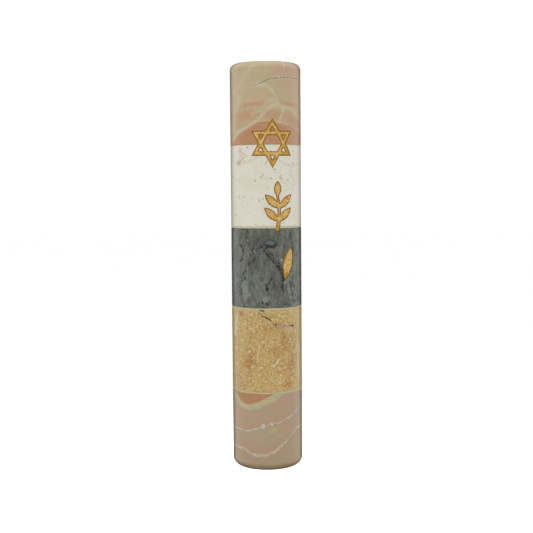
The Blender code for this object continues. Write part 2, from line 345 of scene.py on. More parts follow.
def makePolish():
    # hand polish: smudges in the gloss, hairline scratches and faint orange-peel
    tree, given, out = group("polish", {"Vector": "Vector", "Roughness": "Float", "Back": "Float"},
                             {"Roughness": "Float", "Height": "Float"})
    smudge = noisy(given["Vector"], 0.16, 4.0, 0.6)
    pores = noisy(given["Vector"], 2.6, 3.0, 0.65)
    rubbed = stretched(given["Vector"], (1.2, 1.2, 0.05), (0.1, 0.25, 0.0))
    scratches = fade(noisy(rubbed, 3.2, 2.0), 0.60, 0.72)
    gloss = plus(given["Roughness"], fade(smudge, 0.3, 0.75, -0.05, 0.09))
    gloss = plus(gloss, times(scratches, 0.05))
    gloss = plus(gloss, times(given["Back"], 0.33))
    sawn = noisy(stretched(given["Vector"], (0.05, 1.0, 2.2), (0.0, 0.12, 0.0)), 2.0, 3.0)
    height = minus(times(pores, 0.25), times(scratches, 0.10))
    height = plus(height, times(times(sawn, given["Back"]), 2.2))
    tree.links.new(gloss, out["Roughness"])
    tree.links.new(height, out["Height"])
    return tree


bedding = makeBedding()
veinLine = makeLine()
patch = makePatch()
specks = makeSpecks()
polish = makePolish()


def speckled(where, density, share, size):
    dots = {"Vector": where, "PerMillimetre": density, "Share": share, "Size": size}
    return use(specks, dots)[0]


def newMaterial(name):
    material = bpy.data.materials.new(name)
    material.use_nodes = True
    shader = begin(material.node_tree).nodes["Principled BSDF"]
    where = put("Mapping", {"Vector": put("TexCoord")["Object"], "Scale": (1000, 1000, 1000)})[0]
    return material, shader, where


def bump(height, distance):
    # distance is in millimetres for a height of 1
    return put("Bump", {"Height": height, "Distance": distance * mm})[0]


def pathHeight(along, points):
    # a path through (along, across) points: how far across it lies at each place
    starts = [point[0] for point in points]
    heights = [point[1] for point in points]
    low, high = min(starts), max(starts)
    floor, top = min(heights), max(heights) + 0.001
    share = put("MapRange", {0: along, 1: low, 2: high, 3: 0.0, 4: 1.0})[0]
    curve = drawing["tree"].nodes.new("ShaderNodeFloatCurve")
    connect(curve, {"Value": share})
    line = curve.mapping.curves[0]
    places = sorted(((x - low) / (high - low), (y - floor) / (top - floor)) for x, y in points)
    while len(line.points) < len(places):
        line.points.new(0.5, 0.5)
    for point, place in zip(line.points, places):
        point.location = place
    curve.mapping.update()
    return put("MapRange", {0: curve.outputs[0], 1: 0.0, 2: 1.0, 3: floor, 4: top})[0]


def vein(along, across, points, width, softness=0.3, ends=1.0):
    # a vein along a path, thinning out past both of its ends
    offset = minus(across, pathHeight(along, points))
    mask = use(veinLine, {"Offset": offset, "Width": width, "Softness": softness})[0]
    starts = [point[0] for point in points]
    begun = fade(along, min(starts) - ends, min(starts))
    ended = fade(along, max(starts), max(starts) + ends, 1.0, 0.0)
    return times(mask, times(begun, ended))


def above(along, across, points, softness):
    # 1 above the path, 0 below it
    offset = minus(across, pathHeight(along, points))
    return fade(offset, -softness, softness)


def spot(x, z, centre, size, softness=0.5):
    return use(patch, {"X": x, "Z": z, "CentreX": centre[0], "CentreZ": centre[1], "HalfWidth": size[0],
                       "HalfHeight": size[1], "Softness": softness})[0]


frontY = (axisY - barRadius) / mm


def startStone(name, warp, slant):
    material, shader, where = newMaterial(name)
    bed = use(bedding, {"Vector": where, "Depth": frontY, "Slant": slant, "Warp": warp})
    return material, shader, where, bed


def finishStone(shader, where, colour, roughness, dull, relief=None, reliefDepth=0.0):
    # the ground back is paler, rougher and shows the saw's marks; cracks and pits take no polish
    parts = split(where)
    back = fade(parts[1], backY / mm - 0.12, backY / mm - 0.03)
    dusty = mixed(0.30, colour, tone(205, 200, 188))
    colour = mixed(back, colour, dusty)
    finish = use(polish, {"Vector": where, "Roughness": roughness, "Back": back})
    height = times(finish["Height"], 0.01)
    if relief:
        height = plus(height, times(relief, reliefDepth))
    polished = times(fade(back, 0.0, 1.0, 0.85, 0.05), fade(dull, 0.0, 1.0, 1.0, 0.15))
    connect(shader, {"Base Color": colour, "Roughness": finish["Roughness"], "Normal": bump(height, 1.0),
                     "Specular IOR Level": 0.08, "Coat Weight": polished, "Coat Roughness": 0.05})


def grained(where, colour, scale, low, high, share, shade):
    grain = noisy(where, scale, 2.0, 0.7)
    return laid(colour, fade(grain, low, high), share, shade)


# top block: pink and olive stone with pale veins over a terracotta lens

def makeTopStone():
    material, shader, where, bed = startStone("topStone", 0.9, 0.22)
    x, z = bed["X"], minus(bed["Z"], seamZ[0] / mm)
    clouds = noisy(stretched(bed["Warped"], (1.0, 1.0, 1.7)), 0.16, 4.0, 0.55, 0.4)
    faint = noisy(bed["Warped"], 0.9, 4.0, 0.6)
    colour = mixed(fade(clouds, 0.38, 0.62), tone(183, 161, 131), tone(175, 162, 123))
    upper = fade(z, 20.0, 24.5)
    rightSide = fade(x, 0.0, 5.0)
    colour = laid(colour, times(upper, rightSide), 0.85, tone(182, 153, 128))
    pinker = times(spot(x, z, (9.5, 20.6), (4.5, 2.6), 0.8), fade(faint, 0.36, 0.60))
    colour = laid(colour, pinker, 0.6, tone(184, 152, 124))
    colour = laid(colour, spot(x, z, (-3.0, 26.0), (6.0, 2.2), 0.8), 0.6, tone(174, 163, 126))
    paler = vein(z, x, ((20.5, -10.4), (23.0, -8.6), (26.0, -6.6), (28.0, -4.6)), 0.6, 1.5, 1.5)
    colour = laid(colour, paler, 0.5, tone(186, 176, 148))
    greener = times(spot(x, z, (-1.0, 24.0), (3.2, 4.2), 0.7), fade(clouds, 0.3, 0.6))
    colour = laid(colour, greener, 0.6, tone(172, 163, 118))
    # warmer towards the lens
    drift = fade(noisy(stretched(bed["Warped"], (0.5, 0.5, 1.4)), 0.5, 3.0), 0.36, 0.60)
    warm = times(fade(z, 14.5, 11.0), drift)
    colour = laid(colour, warm, 0.55, tone(178, 146, 108))
    # orange-pink patches between the veins
    for centre, size, share in (
            ((-4.0, 14.7), (5.0, 0.7), 0.85), ((9.0, 15.4), (3.6, 0.65), 0.85),
            ((-7.0, 11.2), (4.3, 1.6), 0.7), ((3.2, 10.6), (3.0, 1.7), 0.8),
            ((10.5, 9.6), (2.6, 2.6), 0.65), ((-9.5, 8.3), (2.4, 0.9), 0.5)):
        colour = laid(colour, spot(x, z, centre, size, 0.7), share, tone(180, 138, 103))
    # the terracotta lens down to the seam
    lens = (
        (-13.0, 1.2), (-11.7, 2.6), (-9.7, 5.2), (-5.7, 7.2), (-2.5, 8.1), (0.7, 8.5), (4.3, 8.1),
        (8.0, 7.6), (13.0, 6.4))
    under = minus(1.0, above(x, z, lens, 0.16))
    streaks = noisy(stretched(bed["Warped"], (0.35, 0.35, 2.2)), 0.8, 3.0)
    terracotta = mixed(fade(streaks, 0.35, 0.7), tone(171, 121, 86), tone(179, 131, 98))
    terracotta = mixed(fade(x, 5.0, 12.0), terracotta, tone(177, 139, 106))
    colour = mixed(under, colour, terracotta)
    # pale veins
    swell = plus(0.55, faint)
    veins = (
        (x, z, ((-2.9, 21.7), (1.5, 20.3), (3.2, 18.3), (4.6, 15.2), (6.7, 13.0)), 0.9, 0.9, 0.75),
        (x, z, ((6.2, 13.2), (8.7, 14.0), (11.5, 12.6), (14.0, 10.5)), 0.45, 0.6, 0.8),
        (x, z, ((-12.5, 1.6), (-11.7, 2.7), (-9.7, 5.4), (-5.7, 7.2), (-2.9, 8.6), (-0.5, 11.4), (1.5, 13.4),
                (4.6, 14.5)), 0.7, 0.8, 0.85),
        (z, x, ((8.3, 5.1), (11.0, 6.0), (13.2, 6.8)), 0.55, 0.5, 0.8),
        (x, z, ((-0.5, 14.5), (2.9, 16.2)), 0.5, 0.8, 0.55),
        (z, x, ((5.8, -9.3), (8.1, -11.2), (12.1, -10.8), (16.1, -9.7), (19.0, -8.6)), 0.7, 1.0, 0.5),
        (x, z, ((-5.0, 11.0), (-1.0, 12.4)), 0.5, 0.9, 0.45),
        (x, z, ((-2.5, 8.35), (0.7, 8.75), (4.3, 8.35), (8.0, 7.85)), 0.3, 0.35, 0.55),
    )
    worn = fade(noisy(bed["Warped"], 0.8, 4.0, 0.65), 0.34, 0.60, 0.45, 1.0)
    for along, across, points, width, softness, share in veins:
        mask = vein(along, across, points, times(swell, width * 0.85), softness, 0.8)
        mask = times(mask, worn)
        colour = laid(colour, mask, share, tone(187, 180, 150))
    flare = vein(x, z, ((-3.5, 8.9), (0.7, 9.2), (4.3, 8.8)), 0.25, 0.4, 1.0)
    colour = laid(colour, flare, 0.5, tone(184, 158, 92))
    # the same veins where they cross the polished end
    depth = split(bed["Warped"])[1]
    onEnd = fade(z, 27.6, 28.3)
    for path, width, share in (
            (((-12.0, -9.0), (-6.0, -13.0), (0.0, -15.5), (5.0, -19.0), (8.0, -22.5)), 0.8, 0.7),
            (((-4.0, -1.0), (1.0, -6.5), (6.0, -9.5), (12.0, -11.0)), 0.6, 0.6),
            (((-11.0, -15.5), (-4.0, -18.5), (0.0, -22.5)), 0.4, 0.5)):
        mask = times(vein(x, depth, path, times(swell, width), 0.7, 1.0), onEnd)
        colour = laid(colour, mask, share, tone(188, 180, 150))
    # hairline crack, with a paler run to the left
    crackPath = ((-2.4, 21.8), (0.6, 22.9), (3.2, 23.7), (6.0, 24.2), (9.5, 24.9), (13.0, 25.8))
    healedPath = (
        (-9.6, 19.2), (-8.9, 19.3), (-8.0, 20.2), (-7.2, 21.0), (-6.4, 21.4), (-4.4, 21.5), (-2.4, 21.8))
    healed = vein(x, z, healedPath, 0.5, 0.8, 0.6)
    colour = laid(colour, healed, 0.45, tone(186, 177, 150))
    healed = vein(x, z, healedPath, 0.06, 0.2, 0.3)
    healed = times(healed, fade(noisy(where, 1.7, 2.0), 0.40, 0.52))
    colour = laid(colour, healed, 0.75, tone(138, 112, 84))
    colour = laid(colour, vein(x, z, crackPath, 0.45, 0.4, 0.5), 0.55, tone(188, 180, 158))
    broken = fade(noisy(where, 1.3, 2.0), 0.36, 0.56)
    crack = times(vein(x, z, crackPath, 0.10, 0.18, 0.5), broken)
    colour = laid(colour, crack, 0.9, tone(74, 66, 56))
    for centre, radius in (
            ((0.0, 10.4), 0.22), ((-2.6, 10.9), 0.18), ((-6.9, 13.8), 0.20), ((-6.4, 7.6), 0.20),
            ((-6.3, 3.8), 0.18), ((9.4, 9.9), 0.20), ((-11.6, 19.6), 0.20)):
        dot = spot(x, z, centre, (radius, radius), 0.5)
        colour = laid(colour, dot, 0.8, tone(112, 84, 52))
    # small change everywhere, fine grain, and a few ochre specks
    colour = laid(colour, fade(faint, 0.3, 0.8), 0.16, tone(196, 182, 158))
    colour = grained(where, colour, 5.5, 0.35, 0.75, 0.13, tone(150, 124, 98))
    dots = speckled(where, 0.40, 0.16, 0.14)
    colour = laid(colour, dots, 0.55, tone(134, 100, 62))
    finishStone(shader, where, colour, 0.30, crack, crack, -0.05)
    return material


# second block: off-white stone with faint stains and tiny brown specks

def makeWhiteStone():
    material, shader, where, bed = startStone("whiteStone", 0.8, 0.15)
    x, z = bed["X"], minus(bed["Z"], seamZ[0] / mm)
    broad = noisy(where, 0.13, 4.0, 0.55, 0.6)
    middling = noisy(bed["Warped"], 0.7, 4.0, 0.6, 0.8)
    colour = mixed(fade(broad, 0.35, 0.68), tone(213, 211, 197), tone(209, 205, 187))
    colour = laid(colour, fade(middling, 0.52, 0.78), 0.5, tone(200, 193, 170))
    colour = laid(colour, fade(middling, 0.46, 0.24), 0.5, tone(216, 216, 204))
    ragged = plus(x, times(minus(noisy(where, 1.4, 3.0), 0.5), 3.0))
    # pinkish stain on the left, a browner one beside it
    stainNoise = fade(noisy(where, 1.0, 3.0), 0.38, 0.56)
    for centre, size, shade, share in (
            ((-8.3, -4.6), (0.9, 1.9), tone(196, 152, 140), 0.95),
            ((-8.9, -1.4), (0.6, 1.3), tone(198, 168, 152), 0.7),
            ((-9.6, -5.6), (0.8, 0.8), tone(170, 148, 100), 0.8),
            ((5.6, -11.4), (0.7, 0.9), tone(190, 176, 146), 0.7),
            ((1.6, -21.0), (1.4, 0.55), tone(166, 156, 124), 0.95),
            ((0.2, -22.9), (1.2, 0.45), tone(172, 160, 126), 0.9),
            ((9.8, -10.4), (1.2, 1.7), tone(205, 188, 166), 0.5)):
        mask = times(spot(x, z, centre, size, 0.7), stainNoise)
        colour = laid(colour, mask, share, shade)
    arc = vein(x, z, ((-7.0, -5.9), (-4.6, -5.2), (-2.6, -3.8), (-1.8, -2.0)), 0.25, 0.5, 0.8)
    colour = laid(colour, arc, 0.5, tone(190, 178, 152))
    shell = vein(x, z, ((4.5, -4.6), (7.0, -6.8), (9.2, -7.3), (11.8, -5.9)), 0.2, 0.45, 0.8)
    colour = laid(colour, shell, 0.35, tone(194, 176, 152))
    for centre, size, shade, share in (
            ((3.2, -22.2), (0.85, 0.40), tone(160, 150, 116), 0.75),
            ((1.2, -24.6), (0.60, 0.30), tone(164, 150, 112), 0.75),
            ((5.4, -12.0), (0.45, 0.55), tone(176, 162, 124), 0.70),
            ((-1.6, -11.6), (0.30, 0.35), tone(170, 148, 116), 0.70),
            ((-3.4, -28.6), (0.50, 0.25), tone(178, 160, 124), 0.60),
            ((2.6, -28.2), (0.30, 0.25), tone(170, 150, 112), 0.60)):
        colour = laid(colour, spot(ragged, z, centre, size, 0.6), share, shade)
    for density, share, size, shade, weight in (
            (0.70, 0.36, 0.25, tone(152, 130, 90), 0.66), (1.2, 0.12, 0.30, tone(164, 144, 104), 0.65),
            (0.95, 0.30, 0.22, tone(186, 172, 138), 0.60), (0.40, 0.20, 0.20, tone(190, 150, 134), 0.65)):
        dots = speckled(where, density, share, size)
        colour = laid(colour, dots, weight, shade)
    # yellower along the left side, and where the resin wetted the lower edge
    lower = fade(z, (seamZ[1] - seamZ[0]) / mm + 0.35, (seamZ[1] - seamZ[0]) / mm + 1.2, 0.45, 0.0)
    colour = mixed(lower, colour, tone(196, 190, 160))
    colour = mixed(fade(x, -12.4, -10.4, 0.35, 0.0), colour, tone(198, 184, 156))
    colour = grained(where, colour, 6.0, 0.4, 0.8, 0.10, tone(178, 168, 142))
    finishStone(shader, where, colour, 0.34, dots)
    return material


# third block: grey stone, vertical smoke, a dark vein, a glassy chip, dots and flecks

def makeGreyStone():
    material, shader, where, bed = startStone("greyStone", 1.6, 0.12)
    x, z = bed["X"], minus(bed["Z"], seamZ[1] / mm)
    smoke = noisy(stretched(bed["Warped"], (1.0, 1.0, 0.38)), 0.42, 5.0, 0.58, 1.4)
    wisps = noisy(stretched(bed["Warped"], (1.5, 1.5, 0.30), (0.0, 0.1, 0.0)), 0.75, 4.0, 0.6, 1.8)
    colour = mixed(fade(smoke, 0.34, 0.66), tone(80, 83, 75), tone(116, 119, 110))
    threads = fade(maths("ABSOLUTE", minus(wisps, 0.5)), 0.0, 0.045, 1.0, 0.0)
    colour = laid(colour, threads, 0.6, tone(58, 62, 54))
    pale = fade(wisps, 0.62, 0.76)
    colour = laid(colour, pale, 0.6, tone(130, 133, 124))
    # darker bruises
    for centre, size, share in (
            ((-3.6, -5.0), (3.0, 3.2), 0.50), ((-2.2, -7.9), (1.9, 2.1), 0.50),
            ((-5.2, -12.4), (1.3, 0.9), 0.60), ((3.6, -13.2), (1.3, 3.4), 0.45),
            ((1.6, -5.4), (2.6, 1.6), 0.6), ((2.4, -19.4), (1.5, 2.2), 0.55),
            ((6.6, -21.8), (1.0, 1.5), 0.6), ((-9.0, -3.0), (1.2, 2.6), 0.4),
            ((-1.2, -12.0), (3.4, 1.2), 0.3)):
        broken = fade(noisy(where, 0.9, 3.0), 0.36, 0.60, 0.35, 1.0)
        mask = times(spot(x, z, centre, size, 0.8), broken)
        colour = laid(colour, mask, share, tone(50, 53, 47))
    # the thick dark vein and thinner ones
    torn = put("SeparateColor", {0: put("TexNoise", {"Vector": where, "Scale": 1.1, "Detail": 4.0,
                                                     "Roughness": 0.6})[1]})
    ragged = plus(x, times(minus(torn[0], 0.5), 3.2))
    raggedZ = plus(z, times(minus(torn[1], 0.5), 2.6))
    swell = plus(-0.3, times(noisy(where, 0.8, 4.0, 0.6), 2.6))
    darkVeins = (
        (z, ((-17.9, 5.7), (-14.8, 4.6), (-11.5, 1.9), (-8.6, -0.4)), 0.56, 0.30, 0.9),
        (z, ((-19.6, 6.5), (-16.4, 6.3), (-13.4, 4.9), (-10.6, 2.4), (-8.2, 0.8)), 0.26, 0.24, 0.85),
        (z, ((-22.8, -0.2), (-20.8, 0.2), (-18.4, 1.8)), 0.44, 0.30, 0.85),
        (z, ((-22.2, 2.0), (-20.4, 2.9), (-18.6, 2.0)), 0.22, 0.26, 0.75),
        (z, ((-13.2, -5.9), (-10.6, -4.2), (-8.4, -4.8), (-5.4, -3.6), (-4.0, -2.2)), 0.20, 0.24, 0.75),
        (x, ((-3.8, -5.0), (-1.6, -3.8), (1.4, -3.6), (3.4, -4.9)), 0.20, 0.24, 0.75),
        (z, ((-28.0, 1.6), (-25.4, 0.6), (-23.6, 0.9)), 0.20, 0.26, 0.60),
        (z, ((-26.4, 11.6), (-24.4, 11.9), (-22.0, 10.6), (-19.8, 9.6)), 0.18, 0.26, 0.65),
        (z, ((-23.4, 6.4), (-20.6, 5.9), (-17.6, 6.2)), 0.45, 0.30, 0.85),
        (z, ((-11.8, -9.4), (-10.4, -8.8), (-8.6, -8.3), (-6.0, -9.2)), 0.16, 0.24, 0.9),
        (z, ((-24.0, -9.8), (-18.0, -8.8), (-12.6, -6.2), (-9.6, -5.6)), 0.22, 0.30, 0.7),
        (z, ((-29.0, -7.8), (-24.0, -8.8), (-19.0, -6.9)), 0.22, 0.30, 0.6),
        (z, ((-9.6, 10.6), (-5.0, 9.4), (-1.5, 9.0)), 0.22, 0.30, 0.6),
        (z, ((-27.0, 10.6), (-23.0, 9.6), (-20.0, 9.0)), 0.28, 0.30, 0.7),
        (z, ((-6.5, -6.4), (-4.0, -6.9), (-0.8, -6.6)), 0.26, 0.30, 0.7))
    veins = None
    for along, points, width, softness, share in darkVeins:
        mask = times(vein(along, ragged, points, times(swell, width), softness, 0.7), share)
        veins = larger(veins, mask) if veins else mask
    colour = mixed(veins, colour, tone(30, 32, 26))
    core = vein(z, ragged, ((-17.0, 5.8), (-14.8, 5.1), (-11.5, 2.4), (-9.0, 0.3)), 0.12, 0.25, 0.5)
    colour = laid(colour, core, 0.6, tone(78, 80, 66))
    # ring of the swirl
    ringReach = spot(ragged, raggedZ, (-1.6, -8.3), (1.3, 1.2), 0.35)
    ring = fade(maths("ABSOLUTE", minus(ringReach, 0.5)), 0.05, 0.35, 1.0, 0.0)
    colour = laid(colour, ring, 0.75, tone(40, 43, 43))
    colour = laid(colour, spot(ragged, raggedZ, (-1.6, -8.4), (0.7, 0.6), 0.6), 0.7, tone(98, 106, 118))
    around = maths("SQRT", plus(maths("POWER", plus(x, 1.2), 2.0), maths("POWER", plus(z, 7.2), 2.0)))
    rings = maths("SINE", plus(times(around, 5.2), times(noisy(where, 0.55, 3.0), 14.0)))
    agate = times(fade(rings, 0.45, 0.95), fade(around, 2.4, 5.4, 1.0, 0.0))
    colour = laid(colour, agate, 0.8, tone(38, 41, 37))
    # the glassy chip, with a painted highlight on its upper facet
    chipEdge = spot(ragged, raggedZ, (1.7, -5.9), (2.3, 1.5), 0.20)
    chip = spot(ragged, raggedZ, (1.5, -5.5), (1.8, 0.95), 0.20)
    # painted highlight: the chip's upper part paler and bluer than its lower part
    chipFacetHighlight = fade(plus(z, times(noisy(where, 1.3, 2.0), 3.0)), -5.0, -3.6)
    chipColourWithHighlight = mixed(chipFacetHighlight, tone(48, 57, 60), tone(96, 110, 118))
    colour = laid(colour, chipEdge, 0.92, tone(32, 35, 31))
    colour = laid(colour, chip, 0.9, chipColourWithHighlight)
    # pale lens shapes low on the right, black dots, light flecks
    for centre, size in (
            ((8.4, -22.9), (0.55, 1.0)), ((10.7, -22.7), (0.40, 1.0)), ((-8.0, -22.0), (1.2, 3.6)),
            ((9.2, -25.8), (0.5, 0.6)), ((-0.5, -26.0), (1.4, 1.2))):
        colour = laid(colour, spot(ragged, z, centre, size, 0.6), 0.6, tone(140, 144, 136))
    blackDots = None
    for density, share, size, shade, weight in (
            (0.48, 0.34, 0.23, tone(20, 22, 16), 1.0), (0.95, 0.18, 0.24, tone(36, 38, 32), 0.85),
            (0.42, 0.24, 0.12, tone(206, 206, 196), 0.9), (0.9, 0.05, 0.30, tone(176, 174, 160), 0.85)):
        dots = speckled(where, density, share, size)
        colour = laid(colour, dots, weight, shade)
        blackDots = blackDots or dots
    grain = noisy(where, 4.2, 3.0, 0.7)
    colour = laid(colour, fade(grain, 0.35, 0.75), 0.22, tone(128, 130, 121))
    dull = larger(larger(veins, blackDots), minus(chipEdge, chip))
    finishStone(shader, where, colour, 0.27, dull, veins, -0.012)
    return material


# fourth block: golden grainstone with shell slivers and rusty drifts

def makeGoldenStone():
    material, shader, where, bed = startStone("goldenStone", 1.2, 0.1)
    x, z = bed["X"], minus(bed["Z"], seamZ[2] / mm)
    cells = put("TexVoronoi", {"Vector": where, "Scale": 2.7, "Randomness": 1.0})
    pick = put("SeparateColor", {0: cells["Color"]})
    broad = noisy(bed["Warped"], 0.22, 4.0, 0.55, 0.8)
    middling = noisy(where, 1.1, 4.0, 0.65)
    colour = mixed(fade(broad, 0.36, 0.66), tone(187, 160, 102), tone(178, 145, 85))
    colour = laid(colour, fade(middling, 0.5, 0.72), 0.6, tone(166, 128, 72))
    colour = laid(colour, fade(middling, 0.46, 0.3), 0.5, tone(198, 176, 128))
    # round grains, some cream and some brown, in a darker cement
    colour = laid(colour, fade(pick[0], 0.66, 0.82), 0.60, tone(212, 192, 144))
    colour = laid(colour, fade(pick[1], 0.74, 0.88), 0.50, tone(150, 110, 56))
    colour = laid(colour, fade(pick[2], 0.93, 0.97), 0.7, tone(222, 212, 186))
    cement = fade(cells["Distance"], 0.42, 0.68)
    colour = laid(colour, cement, 0.26, tone(142, 108, 58))
    # rusty drifts
    driftNoise = fade(noisy(where, 0.9, 4.0, 0.65), 0.40, 0.60)
    for centre, size, share in (
            ((-6.2, -19.0), (1.6, 5.0), 0.60), ((6.0, -10.6), (1.0, 4.2), 0.60),
            ((9.0, -20.5), (1.3, 5.5), 0.50), ((-9.9, -1.6), (1.1, 0.9), 0.85),
            ((2.4, -6.4), (2.6, 1.6), 0.40), ((-1.5, -3.0), (2.0, 1.2), 0.35),
            ((4.2, -14.5), (2.6, 1.4), 0.25), ((-8.6, -28.0), (1.4, 1.2), 0.50),
            ((8.2, -27.6), (1.2, 1.6), 0.50), ((8.8, -12.0), (1.5, 2.2), 0.30)):
        mask = times(spot(x, z, centre, size, 0.9), driftNoise)
        colour = laid(colour, mask, share * 1.25, tone(150, 96, 34))
    # white slivers of shell
    slivers = (
        (z, x, ((-21.4, 1.9), (-20.4, 3.4), (-18.6, 4.4)), 0.24, 0.25, 0.95),
        (z, x, ((-19.5, -3.4), (-16.5, -3.3), (-12.8, -2.7)), 0.14, 0.25, 0.60),
        (z, x, ((-5.8, -7.6), (-4.9, -7.5)), 0.30, 0.25, 0.60),
        (z, x, ((-15.9, -6.6), (-15.3, -6.4)), 0.30, 0.25, 0.70),
        (z, x, ((-21.6, -5.4), (-20.6, -5.2)), 0.30, 0.25, 0.70),
        (z, x, ((-2.7, 4.9), (-2.1, 4.6)), 0.30, 0.25, 0.80),
        (x, z, ((-2.7, -21.6), (-2.1, -21.4)), 0.30, 0.25, 0.70),
        (x, z, ((-9.4, -12.0), (-8.6, -11.4)), 0.26, 0.25, 0.55),
        (z, x, ((-27.2, 4.2), (-26.8, 4.8)), 0.34, 0.25, 0.80),
        (z, x, ((-13.6, 9.4), (-10.6, 8.4)), 0.10, 0.25, 0.50),
        (z, x, ((-24.6, 5.3), (-24.2, 5.2)), 0.34, 0.30, 0.60),
        (z, x, ((-9.6, -11.6), (-5.0, -11.2), (-1.4, -10.7)), 0.50, 0.45, 0.55),
        (z, x, ((-30.0, 12.0), (-20.0, 12.0), (-12.0, 12.1)), 0.20, 0.35, 0.40))
    for along, across, points, width, softness, share in slivers:
        mask = vein(along, across, points, width, softness, 0.3)
        colour = laid(colour, mask, share, tone(208, 200, 176))
    # the crack's stain and the pitted line that runs on from it
    stain = vein(x, z, ((-3.4, -1.0), (-1.25, -2.6), (0.2, -3.4), (1.3, -4.1), (3.4, -5.5)), 0.06, 0.30,
                 0.5)
    colour = laid(colour, stain, 0.85, tone(116, 74, 22))
    holes = 0.0
    # painted shade: near-black inside the cut crack and the void slot, standing in for the shadow in these
    # narrow grooves
    for points, width in ((((-0.5, -3.05), (0.2, -3.4), (1.2, -4.0)), 0.26),
                          (((-2.7, -0.62), (-1.1, -0.66)), 0.30)):
        crackGapShade = vein(x, z, points, width, 0.22, 0.3)
        colour = laid(colour, crackGapShade, 0.95, tone(36, 24, 10))
        holes = larger(holes, crackGapShade)
    trail = vein(x, z, ((3.2, -5.5), (5.5, -5.9), (9.6, -6.1)), 0.35, 0.3, 0.4)
    pits = fade(noisy(where, 1.9, 2.0), 0.47, 0.56)
    colour = laid(colour, trail, 0.55, tone(198, 194, 180))
    colour = laid(colour, times(trail, pits), 0.85, tone(92, 66, 40))
    for centre, size in (
            ((3.4, -5.6), (0.34, 0.28)), ((9.3, -6.1), (0.50, 0.40)), ((9.4, -14.9), (0.25, 0.25)),
            ((10.3, -14.2), (0.18, 0.18)), ((8.9, -13.2), (0.16, 0.22))):
        hole = spot(x, z, centre, size, 0.5)
        colour = laid(colour, hole, 0.9, tone(52, 32, 12))
        holes = larger(holes, hole)
    dots = speckled(where, 0.7, 0.16, 0.18)
    colour = laid(colour, dots, 0.7, tone(124, 80, 32))
    # paler beside the seams; paler round the sides as a painted reflection of the side light
    rim = larger(fade(z, -2.2, -0.6), fade(maths("ABSOLUTE", x), 9.5, 12.6))
    colour = laid(colour, rim, 0.34, tone(186, 172, 132))
    relief = plus(times(cells["Distance"], 0.5), times(pits, trail))
    finishStone(shader, where, colour, 0.36, holes, relief, -0.012)
    return material


# bottom block: the same rock as the top one, with two pale wavy veins

